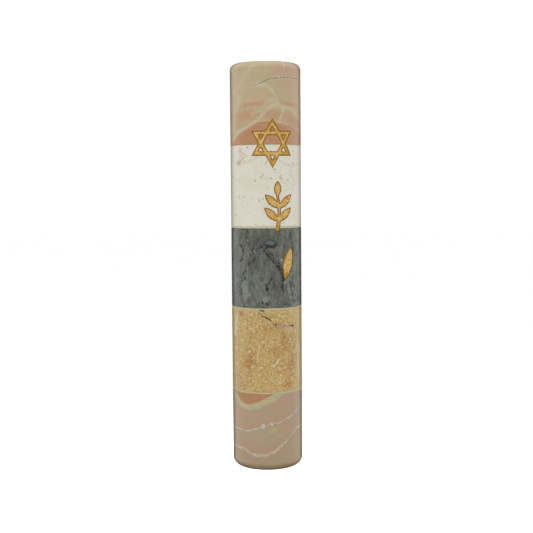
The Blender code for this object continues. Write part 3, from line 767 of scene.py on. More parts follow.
def makeBottomStone():
    material, shader, where, bed = startStone("bottomStone", 0.7, 0.16)
    x, z = bed["X"], minus(bed["Z"], seamZ[3] / mm)
    clouds = noisy(stretched(bed["Warped"], (0.7, 0.7, 1.6), (0.0, 0.45, 0.0)), 0.20, 4.0, 0.55, 0.5)
    faint = noisy(bed["Warped"], 1.0, 4.0, 0.6)
    # painted shade: these base tones are darker than the top block's, for the lower end of the case
    colour = mixed(fade(clouds, 0.36, 0.64), tone(168, 144, 121), tone(161, 146, 118))
    # painted shade: darker still towards the bottom, where the rounded end gets less light
    colour = laid(colour, fade(z, -16.0, -25.0), 0.6, tone(155, 138, 113))
    upperVein = (
        (-13.0, -12.7), (-10.4, -13.5), (-6.8, -14.1), (-4.4, -13.4), (-2.3, -12.7), (2.4, -11.6),
        (7.2, -9.8), (10.6, -7.0), (13.0, -4.8))
    lowerVein = (
        (-13.0, -19.6), (-10.4, -20.4), (-8.2, -21.2), (-5.7, -23.0), (-1.6, -23.4), (0.6, -22.8),
        (4.3, -20.4), (7.9, -17.2), (10.6, -14.2), (13.0, -12.2))
    # fine bedding streaks that run along the upper vein
    bedOffset = minus(z, pathHeight(x, upperVein))
    layers = put("CombineXYZ", {0: times(x, 0.07), 1: times(bedOffset, 1.15)})[0]
    streaks = noisy(layers, 1.0, 3.0, 0.65)
    between = times(fade(z, -15.0, -12.0), fade(z, -1.0, -4.5))
    lively = plus(0.35, times(between, 0.45))
    colour = laid(colour, fade(streaks, 0.48, 0.60), lively, tone(180, 139, 113))
    colour = laid(colour, fade(streaks, 0.5, 0.36), 0.55, tone(161, 150, 124))
    # warmer bands just above each vein
    for path, lift, share in ((upperVein, 1.5, 0.55), (lowerVein, 1.4, 0.45)):
        raised = tuple((place, height + lift) for place, height in path)
        band = vein(x, z, raised, 1.2, 1.3, 1.0)
        colour = laid(colour, band, share, tone(174, 138, 114))
    lowBand = vein(x, z, tuple((place, height - 1.7) for place, height in lowerVein), 0.8, 1.4, 1.0)
    colour = laid(colour, lowBand, 0.35, tone(164, 130, 106))
    # olive band and terracotta wedge under the seam
    bandEdge = (
        (-13.0, 0.5), (-10.6, -3.2), (-9.0, -5.6), (-6.0, -6.3), (-2.0, -5.1), (2.0, -3.4), (5.2, -1.0),
        (7.4, 0.6))
    wedgeEdge = (
        (-12.4, 1.2), (-10.6, -0.9), (-9.4, -3.0), (-7.6, -4.0), (-4.4, -3.5), (-0.6, -1.8), (2.2, -0.4),
        (4.0, 0.8))
    banded = fade(noisy(where, 0.6, 3.0, 0.6), 0.35, 0.65)
    colour = mixed(above(x, z, bandEdge, 0.16), colour, mixed(banded, tone(171, 162, 130),
                                                              tone(177, 168, 129)))
    wedge = mixed(fade(clouds, 0.35, 0.65), tone(172, 120, 84), tone(162, 120, 82))
    colour = mixed(above(x, z, wedgeEdge, 0.20), colour, wedge)
    right = fade(x, 6.6, 7.6)
    colour = laid(colour, right, fade(z, -1.6, -0.6), tone(170, 142, 120))
    # the two veins, with whitish knots
    swell = plus(0.45, noisy(where, 0.9, 3.0))
    for path, width, share in ((upperVein, 0.44, 0.9), (lowerVein, 0.72, 0.85)):
        mask = vein(x, z, path, times(swell, width), 0.20, 1.0)
        colour = laid(colour, mask, share, tone(188, 184, 164))
        core = vein(x, z, tuple((place, height - 0.12) for place, height in path), 0.16, 0.24, 1.0)
        dark = times(core, fade(noisy(where, 1.9, 3.0, 0.6), 0.47, 0.55))
        colour = laid(colour, dark, 0.85, tone(98, 90, 78))
    for centre, size, shade, share in (
            ((-1.6, -12.2), (0.75, 0.95), tone(188, 186, 170), 0.85),
            ((1.4, -11.4), (0.7, 0.55), tone(186, 182, 164), 0.75),
            ((-4.6, -13.3), (0.9, 0.4), tone(184, 180, 160), 0.6),
            ((2.3, -13.7), (1.2, 0.6), tone(176, 168, 116), 0.7),
            ((1.4, -14.8), (1.3, 0.5), tone(176, 166, 130), 0.4),
            ((-3.0, -16.5), (4.0, 1.8), tone(162, 150, 132), 0.35),
            ((-1.0, -26.6), (6.0, 0.9), tone(156, 146, 116), 0.5)):
        colour = laid(colour, spot(x, z, centre, size, 0.6), share, shade)
    colour = laid(colour, fade(faint, 0.3, 0.8), 0.14, tone(186, 172, 146))
    colour = grained(where, colour, 5.5, 0.35, 0.75, 0.13, tone(140, 116, 92))
    dots = speckled(where, 0.5, 0.10, 0.09)
    colour = laid(colour, dots, 0.5, tone(138, 92, 70))
    finishStone(shader, where, colour, 0.30, dark)
    return material


# resin that bonds the blocks: pale, slightly clear, with trapped dust

def makeResin():
    material, shader, where = newMaterial("seamResin")
    height = split(where)[2]
    olive = fade(height, (seamZ[2] + seamZ[1]) / 2 / mm - 1, (seamZ[2] + seamZ[1]) / 2 / mm + 1)
    colour = mixed(olive, tone(184, 173, 133), tone(192, 187, 156))
    dust = noisy(where, 1.4, 4.0, 0.7)
    colour = laid(colour, fade(dust, 0.45, 0.75), 0.35, tone(152, 140, 104))
    colour = laid(colour, fade(noisy(where, 0.2, 2.0), 0.4, 0.7), 0.3, tone(200, 192, 160))
    rough = fade(dust, 0.2, 0.8, 0.26, 0.46)
    connect(shader, {"Base Color": colour, "Roughness": rough, "Normal": bump(dust, 0.02),
                     "Subsurface Weight": 0.08, "Subsurface Scale": 0.4 * mm})
    return material


# gold fill: gilt resin, gritty, with an amber meniscus and clear amber where the gilt ran thin; painted
# shade in its creases and along its outer edge, painted highlights on the bubbles in the amber

gold = {
    "inset": 0.05 * mm,      # field below the stone's surface
    "rimDrop": 0.09 * mm,    # the meniscus dips this much further at the edge
    "rimWidth": 0.46 * mm,
    "lump": 0.030 * mm,
    "lumpGrain": 620,
    "pitShare": 1.6,         # pits in the amber, as a share of the lumps
    "pitGrain": 1500,
    "depth": 1.0 * mm,
    "bite": 0.02 * mm,       # the fill reaches this far into the stone's wall
    "cell": 0.28 * mm,
}


def makeGold():
    material, shader, where = newMaterial("giltFill")
    rim = put("Attribute", attribute_name="rim")["Fac"]
    amber = put("Attribute", attribute_name="amber")["Fac"]
    cloud = noisy(where, 0.55, 4.0, 0.6, 0.6)
    grit = noisy(where, 3.6, 4.0, 0.75)
    creases = noisy(where, 0.8, 3.0, 0.55, 1.2)
    creaseAndShade = fade(maths("ABSOLUTE", minus(creases, 0.52)), 0.0, 0.042, 1.0, 0.0)
    gilt = {"gloss": 0.03}
    colour = mixed(fade(cloud, 0.38, 0.62), tone(212, 182, 118, **gilt), tone(196, 160, 90, **gilt))
    colour = laid(colour, fade(grit, 0.48, 0.68), 0.75, tone(164, 124, 54, **gilt))
    colour = laid(colour, fade(grit, 0.46, 0.30), 0.70, tone(232, 208, 154, **gilt))
    # painted shade: darker gilt along the creases
    colour = laid(colour, creaseAndShade, 0.65, tone(158, 112, 34, **gilt))
    # amber pools in darker clear resin, with painted highlights: the paler middle of each bubble
    bubblesAndHighlights = put("TexVoronoi", {"Vector": where, "Scale": 1.15}, feature="SMOOTH_F1")["Distance"]
    poolWithHighlights = mixed(fade(bubblesAndHighlights, 0.16, 0.42), tone(236, 196, 104, 0.0), tone(166, 118, 30, 0.0))
    pooled = fade(plus(amber, times(minus(cloud, 0.5), 1.6)), 0.42, 0.62)
    colour = laid(colour, pooled, 0.85, poolWithHighlights)
    # the amber meniscus: the resin's own colour, darkened in part as painted shade from the groove wall
    edge = fade(plus(rim, times(minus(cloud, 0.5), 0.9)), 0.18, 0.46)
    colour = laid(colour, edge, 0.92, tone(158, 106, 12, 0.0))
    # painted shade: the darkest brown line right at the fill's outer edge
    colour = laid(colour, fade(rim, 0.52, 0.84), 0.92, tone(98, 64, 8, 0.0))
    # the glue joint below shows as a thin line through the gilt
    height = split(where)[2]
    joint = None
    for seam in seamZ[:2]:
        offset = minus(height, seam / mm)
        line = use(veinLine, {"Offset": offset, "Width": 0.10, "Softness": 0.14})[0]
        joint = larger(joint, line) if joint else line
    colour = laid(colour, joint, 0.5, tone(136, 104, 44, **gilt))
    pits = speckled(where, 0.9, 0.18, 0.10)
    colour = laid(colour, pits, 0.55, tone(126, 84, 20, **gilt))
    metal = fade(larger(edge, pooled), 0.0, 0.8, 0.30, 0.92)
    rough = plus(fade(grit, 0.3, 0.7, 0.36, 0.52), times(edge, -0.18))
    rough = plus(rough, times(pooled, -0.20))
    relief = plus(times(grit, 0.030), times(creaseAndShade, -0.03))
    relief = plus(relief, times(pits, -0.06))
    relief = plus(relief, times(times(bubblesAndHighlights, pooled), -0.18))
    connect(shader, {"Base Color": colour, "Roughness": rough, "Metallic": metal,
                     "Normal": bump(relief, 1.0)})
    return material


# parchment: warm skin with fibres, darker towards its edges

def makeParchment():
    material, shader, where = newMaterial("parchment")
    broad = noisy(where, 0.12, 4.0, 0.6, 0.6)
    fibres = noisy(stretched(where, (3.0, 3.0, 0.5)), 1.4, 4.0, 0.7)
    pores = speckled(where, 1.6, 0.35, 0.12)
    colour = mixed(fade(broad, 0.35, 0.68), tone(226, 208, 168), tone(210, 186, 140))
    colour = laid(colour, fade(fibres, 0.5, 0.75), 0.35, tone(190, 164, 118))
    colour = laid(colour, pores, 0.3, tone(176, 146, 100))
    height = split(where)[2]
    low, high = (part.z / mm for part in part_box("parchment_scroll"))
    ends = larger(fade(height, low + 0.3, low + 2.5, 1.0, 0.0), fade(height, high - 2.5, high - 0.3))
    worn = times(ends, fade(noisy(where, 0.7, 3.0), 0.3, 0.7, 0.4, 1.0))
    colour = laid(colour, worn, 0.55, tone(170, 138, 92))
    relief = plus(times(fibres, 0.05), times(pores, -0.02))
    connect(shader, {"Base Color": colour, "Roughness": fade(fibres, 0.2, 0.8, 0.58, 0.76),
                     "Normal": bump(relief, 1.0), "Subsurface Weight": 0.10, "Subsurface Scale": 0.5 * mm,
                     "Sheen Weight": 0.12})
    return material


# rubber plug: moulded black rubber, dusty in its grooves

def makeRubber():
    material, shader, where = newMaterial("plugRubber")
    broad = noisy(where, 0.35, 3.0, 0.6)
    mould = noisy(where, 6.0, 3.0, 0.7)
    dust = noisy(where, 1.2, 5.0, 0.7)
    colour = mixed(fade(broad, 0.3, 0.7), tone(52, 51, 50, 0.02), tone(64, 62, 60, 0.02))
    colour = laid(colour, fade(dust, 0.54, 0.78), 0.5, tone(128, 122, 112, 0.02))
    parts = split(where)
    away = maths("SQRT", plus(times(parts[0], parts[0]), maths("POWER", minus(parts[1], axisY / mm), 2.0)))
    outer = fade(away, 7.2, 7.9)
    colour = laid(colour, outer, 0.25, tone(110, 106, 100, 0.02))
    connect(shader, {"Base Color": colour, "Roughness": fade(dust, 0.3, 0.7, 0.55, 0.85),
                     "Normal": bump(mould, 0.03), "Specular IOR Level": 0.4})
    return material


# foam tape: closed cells on its cut edges, a film of glue on its faces

def makeFoam():
    material, shader, where = newMaterial("foamTape")
    cells = put("TexVoronoi", {"Vector": where, "Scale": 3.6})
    broad = noisy(where, 0.1, 3.0, 0.6)
    colour = mixed(fade(broad, 0.35, 0.65), tone(226, 225, 220), tone(216, 214, 206))
    colour = laid(colour, fade(cells["Distance"], 0.28, 0.6), 0.28, tone(176, 173, 164))
    parts = split(where)
    film = fade(parts[1], -0.10, -0.03)
    wrinkles = noisy(stretched(where, (1.0, 1.0, 0.4), (0.0, 0.4, 0.0)), 0.5, 4.0, 0.6, 1.0)
    ribs = []
    for slope in (-1.0, 1.0):
        lean = plus(parts[0], times(parts[2], slope))
        ribs.append(maths("ABSOLUTE", maths("SINE", times(lean, 2.1))))
    quilt = times(maths("MINIMUM", ribs[0], ribs[1]), film)
    colour = laid(colour, film, 0.5, tone(222, 219, 206))
    colour = laid(colour, film, fade(quilt, 0.0, 0.35, 0.30, 0.0), tone(186, 183, 172))
    sideDust = times(fade(maths("ABSOLUTE", parts[0]), 6.2, 7.4),
                     fade(noisy(where, 0.9, 4.0, 0.6), 0.42, 0.66))
    colour = laid(colour, sideDust, 0.6, tone(164, 154, 134))
    rough = minus(0.82, times(film, 0.42))
    relief = plus(times(cells["Distance"], -0.05), times(times(wrinkles, film), 0.12))
    relief = plus(relief, times(quilt, 0.05))
    connect(shader, {"Base Color": colour, "Roughness": rough, "Normal": bump(relief, 1.0),
                     "Subsurface Weight": 0.1, "Subsurface Scale": 0.5 * mm})
    return material


materials = {
    "top": makeTopStone(),
    "white": makeWhiteStone(),
    "grey": makeGreyStone(),
    "golden": makeGoldenStone(),
    "bottom": makeBottomStone(),
    "resin": makeResin(),
    "gold": makeGold(),
    "parchment": makeParchment(),
    "rubber": makeRubber(),
    "foam": makeFoam(),
}
print("materials made:", len(materials))


# stone blocks

def wearSurface(bm, low, high, endsBonded, dents):
    # ripple all over, chips beside the seams, and any dent: always inwards
    for vert in bm.verts:
        flat = Vector((vert.co.x, vert.co.y, 0))
        if flat.length < barRadius - bar["rounding"]["bottom"]:
            continue
        depth = bar["ripple"] * (1 + noise.noise(vert.co * bar["rippleGrain"]))
        for bonded, end, away in ((endsBonded[0], low, vert.co.z - low),
                                  (endsBonded[1], high, high - vert.co.z)):
            if bonded and away < bar["chipReach"]:
                place = Vector((vert.co.x * bar["chipGrain"], vert.co.y * bar["chipGrain"],
                                end * bar["chipTurn"]))
                bite = max(0.0, noise.noise(place) - bar["chipShare"])
                depth += bar["chip"] * bite * (1 - away / bar["chipReach"])
        for centre, size, deep in dents:
            reach = math.hypot((vert.co.x - centre[0]) / size[0], (vert.co.z - centre[1]) / size[1])
            if reach < 1 and vert.co.y < 0:
                depth += deep * (1 - reach * reach) ** 2
        vert.co -= flat.normalized() * depth


def stoneBlock(name, low, high, end=None, dents=()):
    # end is "top" or "bottom" for the blocks with a rounded end
    edge = bar["arris"]
    rounding = bar["rounding"].get(end, 0.0)
    inner = barRadius - rounding
    arc = [math.pi / 2 * step / bar["roundSteps"] for step in range(bar["roundSteps"] + 1)]
    rise = [(inner + rounding * math.sin(turn), rounding * (1 - math.cos(turn))) for turn in arc]
    bonded = (end != "bottom", end != "top")
    lowEdge = [(barRadius - edge, low), (barRadius, low + edge)]
    highEdge = [(barRadius, high - edge), (barRadius - edge, high)]
    if end == "top":
        points = [(0, high), (inner * 0.6, high)] + [(radius, high - drop) for radius, drop in rise]
        side = len(points) - 1
        points += lowEdge[::-1] + [(bar["bore"], low), (bar["bore"], bar["boreEnd"]), (0, bar["boreEnd"])]
    elif end == "bottom":
        points = [(bar["plugSeat"], low)] + [(radius, low + drop) for radius, drop in rise]
        side = len(points) - 1
        seat = low + bar["plugSeatDepth"]
        points += highEdge + [(bar["bore"], high), (bar["bore"], seat), (bar["plugSeat"], seat)]
    else:
        points = [(bar["bore"], low)] + lowEdge
        side = len(points) - 1
        points += highEdge + [(bar["bore"], high)]
    rows = round((high - low) / bar["row"])
    bm = spun(points, bar["steps"], end != "top", [(side, rows)])
    wearSurface(bm, low, high, bonded, dents)
    groundFlat(bm, barRadius, backY - axisY)
    bmesh.ops.translate(bm, vec=(0, axisY, 0), verts=bm.verts[:])
    return newObject(name, bm, materials[name])


def seamRing(index):
    radius = barRadius - seamSink - 2 * bar["ripple"]
    low = seamZ[index] - seamThickness[index] / 2
    high = low + seamThickness[index]
    points = [(bar["bore"], low), (radius, low), (radius, high), (bar["bore"], high)]
    bm = spun(points, bar["steps"], True, [(1, 2)])
    groundFlat(bm, radius, backY - axisY - seamSink)
    bmesh.ops.translate(bm, vec=(0, axisY, 0), verts=bm.verts[:])
    return newObject(f"resinSeam{index + 1}", bm, materials["resin"])


edges = [(seamZ[i] - seamThickness[i] / 2, seamZ[i] + seamThickness[i] / 2) for i in range(4)]
greyChip = ((1.5 * mm, seamZ[1] - 5.7 * mm), (2.2 * mm, 1.4 * mm), 0.22 * mm)
greySwirl = ((-1.9 * mm, seamZ[1] - 8.1 * mm), (1.6 * mm, 1.5 * mm), 0.08 * mm)
stones = {
    "top": stoneBlock("top", edges[0][1], caseTop, "top"),
    "white": stoneBlock("white", edges[1][1], edges[0][0]),
    "grey": stoneBlock("grey", edges[2][1], edges[1][0], dents=(greyChip, greySwirl)),
    "golden": stoneBlock("golden", edges[3][1], edges[2][0]),
    "bottom": stoneBlock("bottom", caseBottom, edges[3][0], "bottom"),
}
rings = [seamRing(index) for index in range(4)]
print("blocks turned:", {name: len(obj.data.polygons) for name, obj in stones.items()})


# flat outlines, x round the bar and y up it, for whatever is cut or poured

outlineSteps = 14        # faces along a leaf or the stem


def starTriangle(grow, turn):
    bm = bmesh.new()
    made = bmesh.ops.create_circle(bm, cap_ends=True, segments=3, radius=star["radius"] + 2 * grow,
                                   matrix=turn)
    face = made["verts"][0].link_faces[0]
    bmesh.ops.inset_region(bm, faces=[face], thickness=star["stroke"] + 2 * grow, use_boundary=True,
                           use_even_offset=True)
    bmesh.ops.delete(bm, geom=[face], context="FACES_ONLY")
    return bm


def leafShape(length, width, grow, lean, foot):
    # a pointed leaf from its foot, leaning by so many degrees towards +X
    bm = bmesh.new()
    bmesh.ops.create_grid(bm, x_segments=2, y_segments=outlineSteps, size=0.5)
    direction = math.radians(lean)
    for vert in bm.verts:
        along = vert.co.y + 0.5
        across = 2 * vert.co.x * (width / 2 + grow) * math.sin(math.pi * along) ** 0.8
        reach = along * (length + 2 * grow) - grow
        vert.co.x = foot[0] + reach * math.sin(direction) + across * math.cos(direction)
        vert.co.y = foot[1] + reach * math.cos(direction) - across * math.sin(direction)
    bmesh.ops.remove_doubles(bm, verts=bm.verts[:], dist=tiny)
    return bm


star = {"radius": 9.0 * mm, "stroke": 1.6 * mm, "angle": 11.0, "rise": 0.5 * mm,
        "amber": ((0.0, -8.2, 4.2), (6.6, -3.8, 3.6), (-3.6, 5.2, 1.8))}
sprig = {"length": 14.0 * mm, "foot": 1.6 * mm, "stem": 1.5 * mm, "bow": 0.8 * mm, "angle": 18.0,
         "footShare": 1.15, "taper": 0.45,
         "leafLength": 7.4 * mm, "leafWidth": 2.9 * mm, "spread": 46.0, "pairs": (0.26, 0.60),
         "tipFoot": 0.90, "tipLength": 5.8 * mm, "amber": ((0.0, 1.2, 4.0), (4.4, 12.6, 2.4))}
leaf = {"angle": 31.0, "top": 6.8 * mm, "length": 12.4 * mm, "width": 4.4 * mm, "lean": 14.0,
        "amber": ((0.6, 1.0, 3.0),)}


def starOutlines(grow):
    return [starTriangle(grow, Matrix.Identity(4)), starTriangle(grow, Matrix.Rotation(math.pi, 4, "Z"))]


def stemMiddle(along):
    return sprig["bow"] * math.sin(math.pi * along), sprig["length"] * along


def sprigOutlines(grow):
    stem = bmesh.new()
    bmesh.ops.create_grid(stem, x_segments=1, y_segments=outlineSteps, size=0.5)
    for vert in stem.verts:
        along = vert.co.y + 0.5
        middle, height = stemMiddle(along)
        taper = sprig["footShare"] - sprig["taper"] * along
        vert.co.x = middle + 2 * vert.co.x * (sprig["stem"] / 2 * taper + grow)
        vert.co.y = height + (2 * along - 1) * grow
    outlines = [stem]
    for along in sprig["pairs"]:
        for lean in (-sprig["spread"], sprig["spread"]):
            outlines.append(leafShape(sprig["leafLength"], sprig["leafWidth"], grow, lean,
                                      stemMiddle(along)))
    outlines.append(leafShape(sprig["tipLength"], sprig["leafWidth"], grow, 0.0,
                              stemMiddle(sprig["tipFoot"])))
    return outlines


def leafOutlines(grow):
    return [leafShape(leaf["length"], leaf["width"], grow, leaf["lean"], (0.0, 0.0))]


def flatSolid(name, bm, low, high):
    for vert in bm.verts:
        vert.co.z = low
    grown = bmesh.ops.extrude_face_region(bm, geom=bm.faces[:])
    for item in grown["geom"]:
        if isinstance(item, bmesh.types.BMVert):
            item.co.z = high
    facing(bm)
    return newObject(name, bm)


def flatUnion(name, outlines, low, high, cell, rows):
    # joins the outlines' solids, then slices them so that they can bend round the bar
    solids = [flatSolid(f"{name}{index}", bm, low, high) for index, bm in enumerate(outlines)]
    joined = join(solids[0], solids[1:], "UNION")
    bm = bmesh.new()
    bm.from_mesh(joined.data)
    bpy.data.objects.remove(joined, do_unlink=True)
    bmesh.ops.remove_doubles(bm, verts=bm.verts[:], dist=tiny)
    outline = []
    for edge in bm.edges:
        if min(vert.co.z for vert in edge.verts) > high - tiny and len(edge.link_faces) == 2:
            if min(abs(face.normal.z) for face in edge.link_faces) < 0.5:
                outline.append((edge.verts[0].co.xy.copy(), edge.verts[1].co.xy.copy()))
    for axis in (0, 1) if rows else (0,):
        places = [vert.co[axis] for vert in bm.verts]
        sliced(bm, axis, min(places), max(places), math.ceil((max(places) - min(places)) / cell))
    bmesh.ops.triangulate(bm, faces=bm.faces[:])
    return bm, outline


def wrap(bm, angle, height):
    for vert in bm.verts:
        turn = math.radians(angle) + vert.co.x / barRadius
        radius = barRadius + vert.co.z
        vert.co = (radius * math.sin(turn), axisY - radius * math.cos(turn), vert.co.y + height)
    bmesh.ops.dissolve_degenerate(bm, dist=tiny, edges=bm.edges[:])
    outward(bm)


recess = {"reach": 1.5 * mm, "cell": 0.8 * mm}      # how far a cutter stands out, and its slices


def cutter(name, outlines, depth, angle, height):
    bm = flatUnion(name, outlines, -depth, recess["reach"], recess["cell"], False)[0]
    wrap(bm, angle, height)
    return newObject(name, bm)


def nearest(point, outline):
    best = 1.0
    for a, b in outline:
        share = min(1.0, max(0.0, geometry.intersect_point_line(point, a, b)[1]))
        best = min(best, (a + (b - a) * share - point).length)
    return best


def pour(name, outlines, settings, height):
    # the gold: a slightly sunken field that dips to a meniscus at its edge
    bm, outline = flatUnion(name, outlines, -gold["depth"] - gold["bite"], 0.0, gold["cell"], True)
    rim = bm.verts.layers.float.new("rim")
    amber = bm.verts.layers.float.new("amber")
    for vert in bm.verts:
        away = nearest(vert.co.xy, outline)
        share = min(1.0, away / gold["rimWidth"])
        vert[rim] = 1.0 - min(1.0, away / (1.5 * gold["rimWidth"]))
        pools = [max(0.0, 1.0 - math.dist((x * mm, y * mm), vert.co.xy) / (reach * mm))
                 for x, y, reach in settings["amber"]]
        vert[amber] = max(pools)
        if vert.co.z > -tiny:
            lumps = gold["lump"] * noise.noise(Vector((vert.co.x, vert.co.y, 0)) * gold["lumpGrain"])
            pits = gold["pitShare"] * gold["lump"] * vert[amber]
            pits *= noise.noise(Vector((vert.co.x, vert.co.y, 1)) * gold["pitGrain"])
            dip = gold["rimDrop"] * (1 - share * share * (3 - 2 * share))
            vert.co.z = -gold["inset"] - dip + (lumps + pits) * share
    wrap(bm, settings["angle"], height)
    return newObject(name, bm, materials["gold"])


starHeight = seamZ[0] + star["rise"]
sprigHeight = seamZ[1] - sprig["foot"]
leafHeight = seamZ[1] - leaf["top"] - leaf["length"]
ornaments = {
    "ornament_star": pour("starFill", starOutlines(gold["bite"]), star, starHeight),
    "ornament_sprig": pour("sprigFill", sprigOutlines(gold["bite"]), sprig, sprigHeight),
    "ornament_leaf": pour("leafFill", leafOutlines(gold["bite"]), leaf, leafHeight),
}
print("gold poured:", {name: len(obj.data.polygons) for name, obj in ornaments.items()})

# the recesses, cut block by block
recesses = {
    "star": (starOutlines, star["angle"], starHeight, (stones["top"], rings[0], stones["white"])),
    "sprig": (sprigOutlines, sprig["angle"], sprigHeight, (stones["white"], rings[1], stones["grey"])),
    "leaf": (leafOutlines, leaf["angle"], leafHeight, (stones["grey"],)),
}
for name, (outlines, angle, height, targets) in recesses.items():
    for target in targets:
        join(target, [cutter(name + "Recess", outlines(0.0), gold["depth"], angle, height)], "DIFFERENCE")


def ribbon(points, width):
    # a thin crack through (x, z) points in millimetres, tapering to nothing at both ends
    bm = bmesh.new()
    steps = 5 * (len(points) - 1)
    bmesh.ops.create_grid(bm, x_segments=1, y_segments=steps, size=0.5)
    for vert in bm.verts:
        along = (vert.co.y + 0.5) * (len(points) - 1)
        index = min(int(along), len(points) - 2)
        start, end = Vector(points[index]) * mm, Vector(points[index + 1]) * mm
        heading = (end - start).normalized()
        middle = start.lerp(end, along - index)
        half = 2 * vert.co.x * width / 2 * math.sin(math.pi * (vert.co.y + 0.5)) ** 0.5
        half *= 1 + 0.5 * noise.noise(Vector((along * 3, 0, 0)))
        vert.co.x = middle.x - heading.y * half
        vert.co.y = middle.y + heading.x * half
    bmesh.ops.remove_doubles(bm, verts=bm.verts[:], dist=tiny)
    return bm


crack = {"path": ((-1.0, -2.75), (-0.3, -3.15), (0.4, -3.55), (1.5, -4.2)), "width": 0.30 * mm,
         "depth": 0.35 * mm}
voidSlot = {"path": ((-2.8, -0.40), (-1.9, -0.44), (-1.0, -0.42)), "width": 0.36 * mm, "depth": 0.5 * mm}
for name, slot, targets in (("crack", crack, (stones["golden"],)),
                            ("void", voidSlot, (rings[2], stones["golden"]))):
    for target in targets:
        cut = cutter(name, [ribbon(slot["path"], slot["width"])], slot["depth"], 0.0, seamZ[2])
        join(target, [cut], "DIFFERENCE")
for obj in list(stones.values()) + rings:
    smooth(obj, 30)
for obj in ornaments.values():
    smooth(obj, 50)
print("recesses cut")


# the rolled parchment: a sheet rolled up tight, its turns not quite level at the ends

scroll = {"side": 120.0 * mm, "thickness": 0.25 * mm, "outer": 5.6 * mm, "core": 3.4 * mm,
          "perTurn": 44, "rows": 48, "uneven": 0.35 * mm, "buckle": 0.05 * mm}


def rollScroll():
    low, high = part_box("parchment_scroll")
    outer = scroll["outer"] - scroll["thickness"]
    inner = scroll["core"] + scroll["thickness"]
    turns = scroll["side"] / (math.pi * (scroll["outer"] + scroll["core"]))
    bm = bmesh.new()
    bmesh.ops.create_grid(bm, x_segments=round(turns * scroll["perTurn"]), y_segments=scroll["rows"],
                          size=0.5)
    for vert in bm.verts:
        along, up = vert.co.x + 0.5, vert.co.y + 0.5
        turn = math.pi / 2 + math.tau * turns * along
        radius = outer + (inner - outer) * along
        radius -= scroll["buckle"] * (1 + noise.noise(Vector((along * 18, up * 5, 0))))
        end = scroll["uneven"] * (1 + noise.noise(Vector((along * 7, 3.3, round(up))))) / 2
        height = low.z + end + (high.z - low.z - 2 * end) * up
        vert.co = (radius * math.cos(turn), axisY + radius * math.sin(turn), height)
    facing(bm)
    bmesh.ops.solidify(bm, geom=bm.faces[:], thickness=scroll["thickness"] * 0.8)
    facing(bm)
    obj = newObject("rolledParchment", bm, materials["parchment"])
    smooth(obj, 45)
    return obj


# the rubber plug: dished flange with a grip bar, and a ribbed body

plug = {"flange": 8.0 * mm, "flangeThickness": 1.9 * mm, "body": 5.3 * mm, "bodyLength": 9.0 * mm,
        "rib": 5.7 * mm, "ribPitch": 2.6 * mm, "ribs": 3, "dish": 5.2 * mm, "dishDepth": 1.3 * mm,
        "grip": 2.0 * mm, "edge": 0.3 * mm, "steps": 120, "cornerSteps": 4, "ribStart": 0.4,
        # a rib's outline: pitches along, and share of its height
        "ribShape": ((0.0, 0.0), (0.08, 0.35), (0.18, 0.92), (0.24, 1.0), (0.32, 1.0), (0.42, 0.8),
                     (0.52, 0.3), (0.62, 0.0))}


def corner(radius, height, fromSide, toSide, size):
    # a rounded corner between two directions, each a (radius, height) unit step
    points = []
    for step in range(plug["cornerSteps"] + 1):
        turn = math.pi / 2 * step / plug["cornerSteps"]
        back, ahead = 1 - math.sin(turn), 1 - math.cos(turn)
        points.append((radius + size * (fromSide[0] * back + toSide[0] * ahead),
                       height + size * (fromSide[1] * back + toSide[1] * ahead)))
    return points


def makePlug():
    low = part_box("bore_plug")[0].z
    edge, flange = plug["edge"], plug["flangeThickness"]
    points = [(0.0, plug["dishDepth"])]
    points += corner(plug["dish"], plug["dishDepth"], (-1, 0), (0, -1), edge)
    points += corner(plug["dish"] + edge * 0.4, 0.0, (-0.4, 1), (1, 0), edge * 0.6)
    points += corner(plug["flange"], 0.0, (-1, 0), (0, 1), edge)
    points += corner(plug["flange"], flange, (0, -1), (-1, 0), edge * 0.6)
    points += [(plug["body"] + edge, flange), (plug["body"], flange + edge)]
    for number in range(plug["ribs"]):
        start = flange + plug["ribPitch"] * (number + plug["ribStart"])
        for share, out in plug["ribShape"]:
            points.append((plug["body"] + (plug["rib"] - plug["body"]) * out,
                           start + share * plug["ribPitch"]))
    top = flange + plug["bodyLength"]
    points += corner(plug["body"], top, (0, -1), (-1, 0), edge * 1.5)
    points += [(0.0, top)]
    body = newObject("boreStopper", spun(points, plug["steps"], False), materials["rubber"])
    grip = bmesh.new()
    bmesh.ops.create_cube(grip, size=1.0)
    size = (plug["grip"], 2 * (plug["dish"] + edge), plug["dishDepth"])
    bmesh.ops.scale(grip, vec=size, verts=grip.verts[:])
    bmesh.ops.translate(grip, vec=(0, 0, plug["dishDepth"] / 2 + edge), verts=grip.verts[:])
    lowEdges = [item for item in grip.edges if max(vert.co.z for vert in item.verts) < edge * 1.5
                and abs(item.verts[0].co.y - item.verts[1].co.y) > edge]
    bmesh.ops.bevel(grip, geom=lowEdges, offset=0.5 * mm, segments=5, profile=0.5, affect="EDGES",
                    material=-1)
    join(body, [newObject("grip", grip)], "UNION")
    bm = bmesh.new()
    bm.from_mesh(body.data)
    bmesh.ops.translate(bm, vec=(0, axisY, low), verts=bm.verts[:])
    bm.to_mesh(body.data)
    bm.free()
    smooth(body, 35)
    return body


# the foam tape: a die-cut strip, its cut sides drawn in between two films of glue

tape = {"width": 15.0 * mm, "height": 120.0 * mm, "corner": 2.0 * mm, "waist": 0.12 * mm, "layers": 6,
        "rows": 80, "columns": 10, "waver": 0.5, "waverGrain": 900}


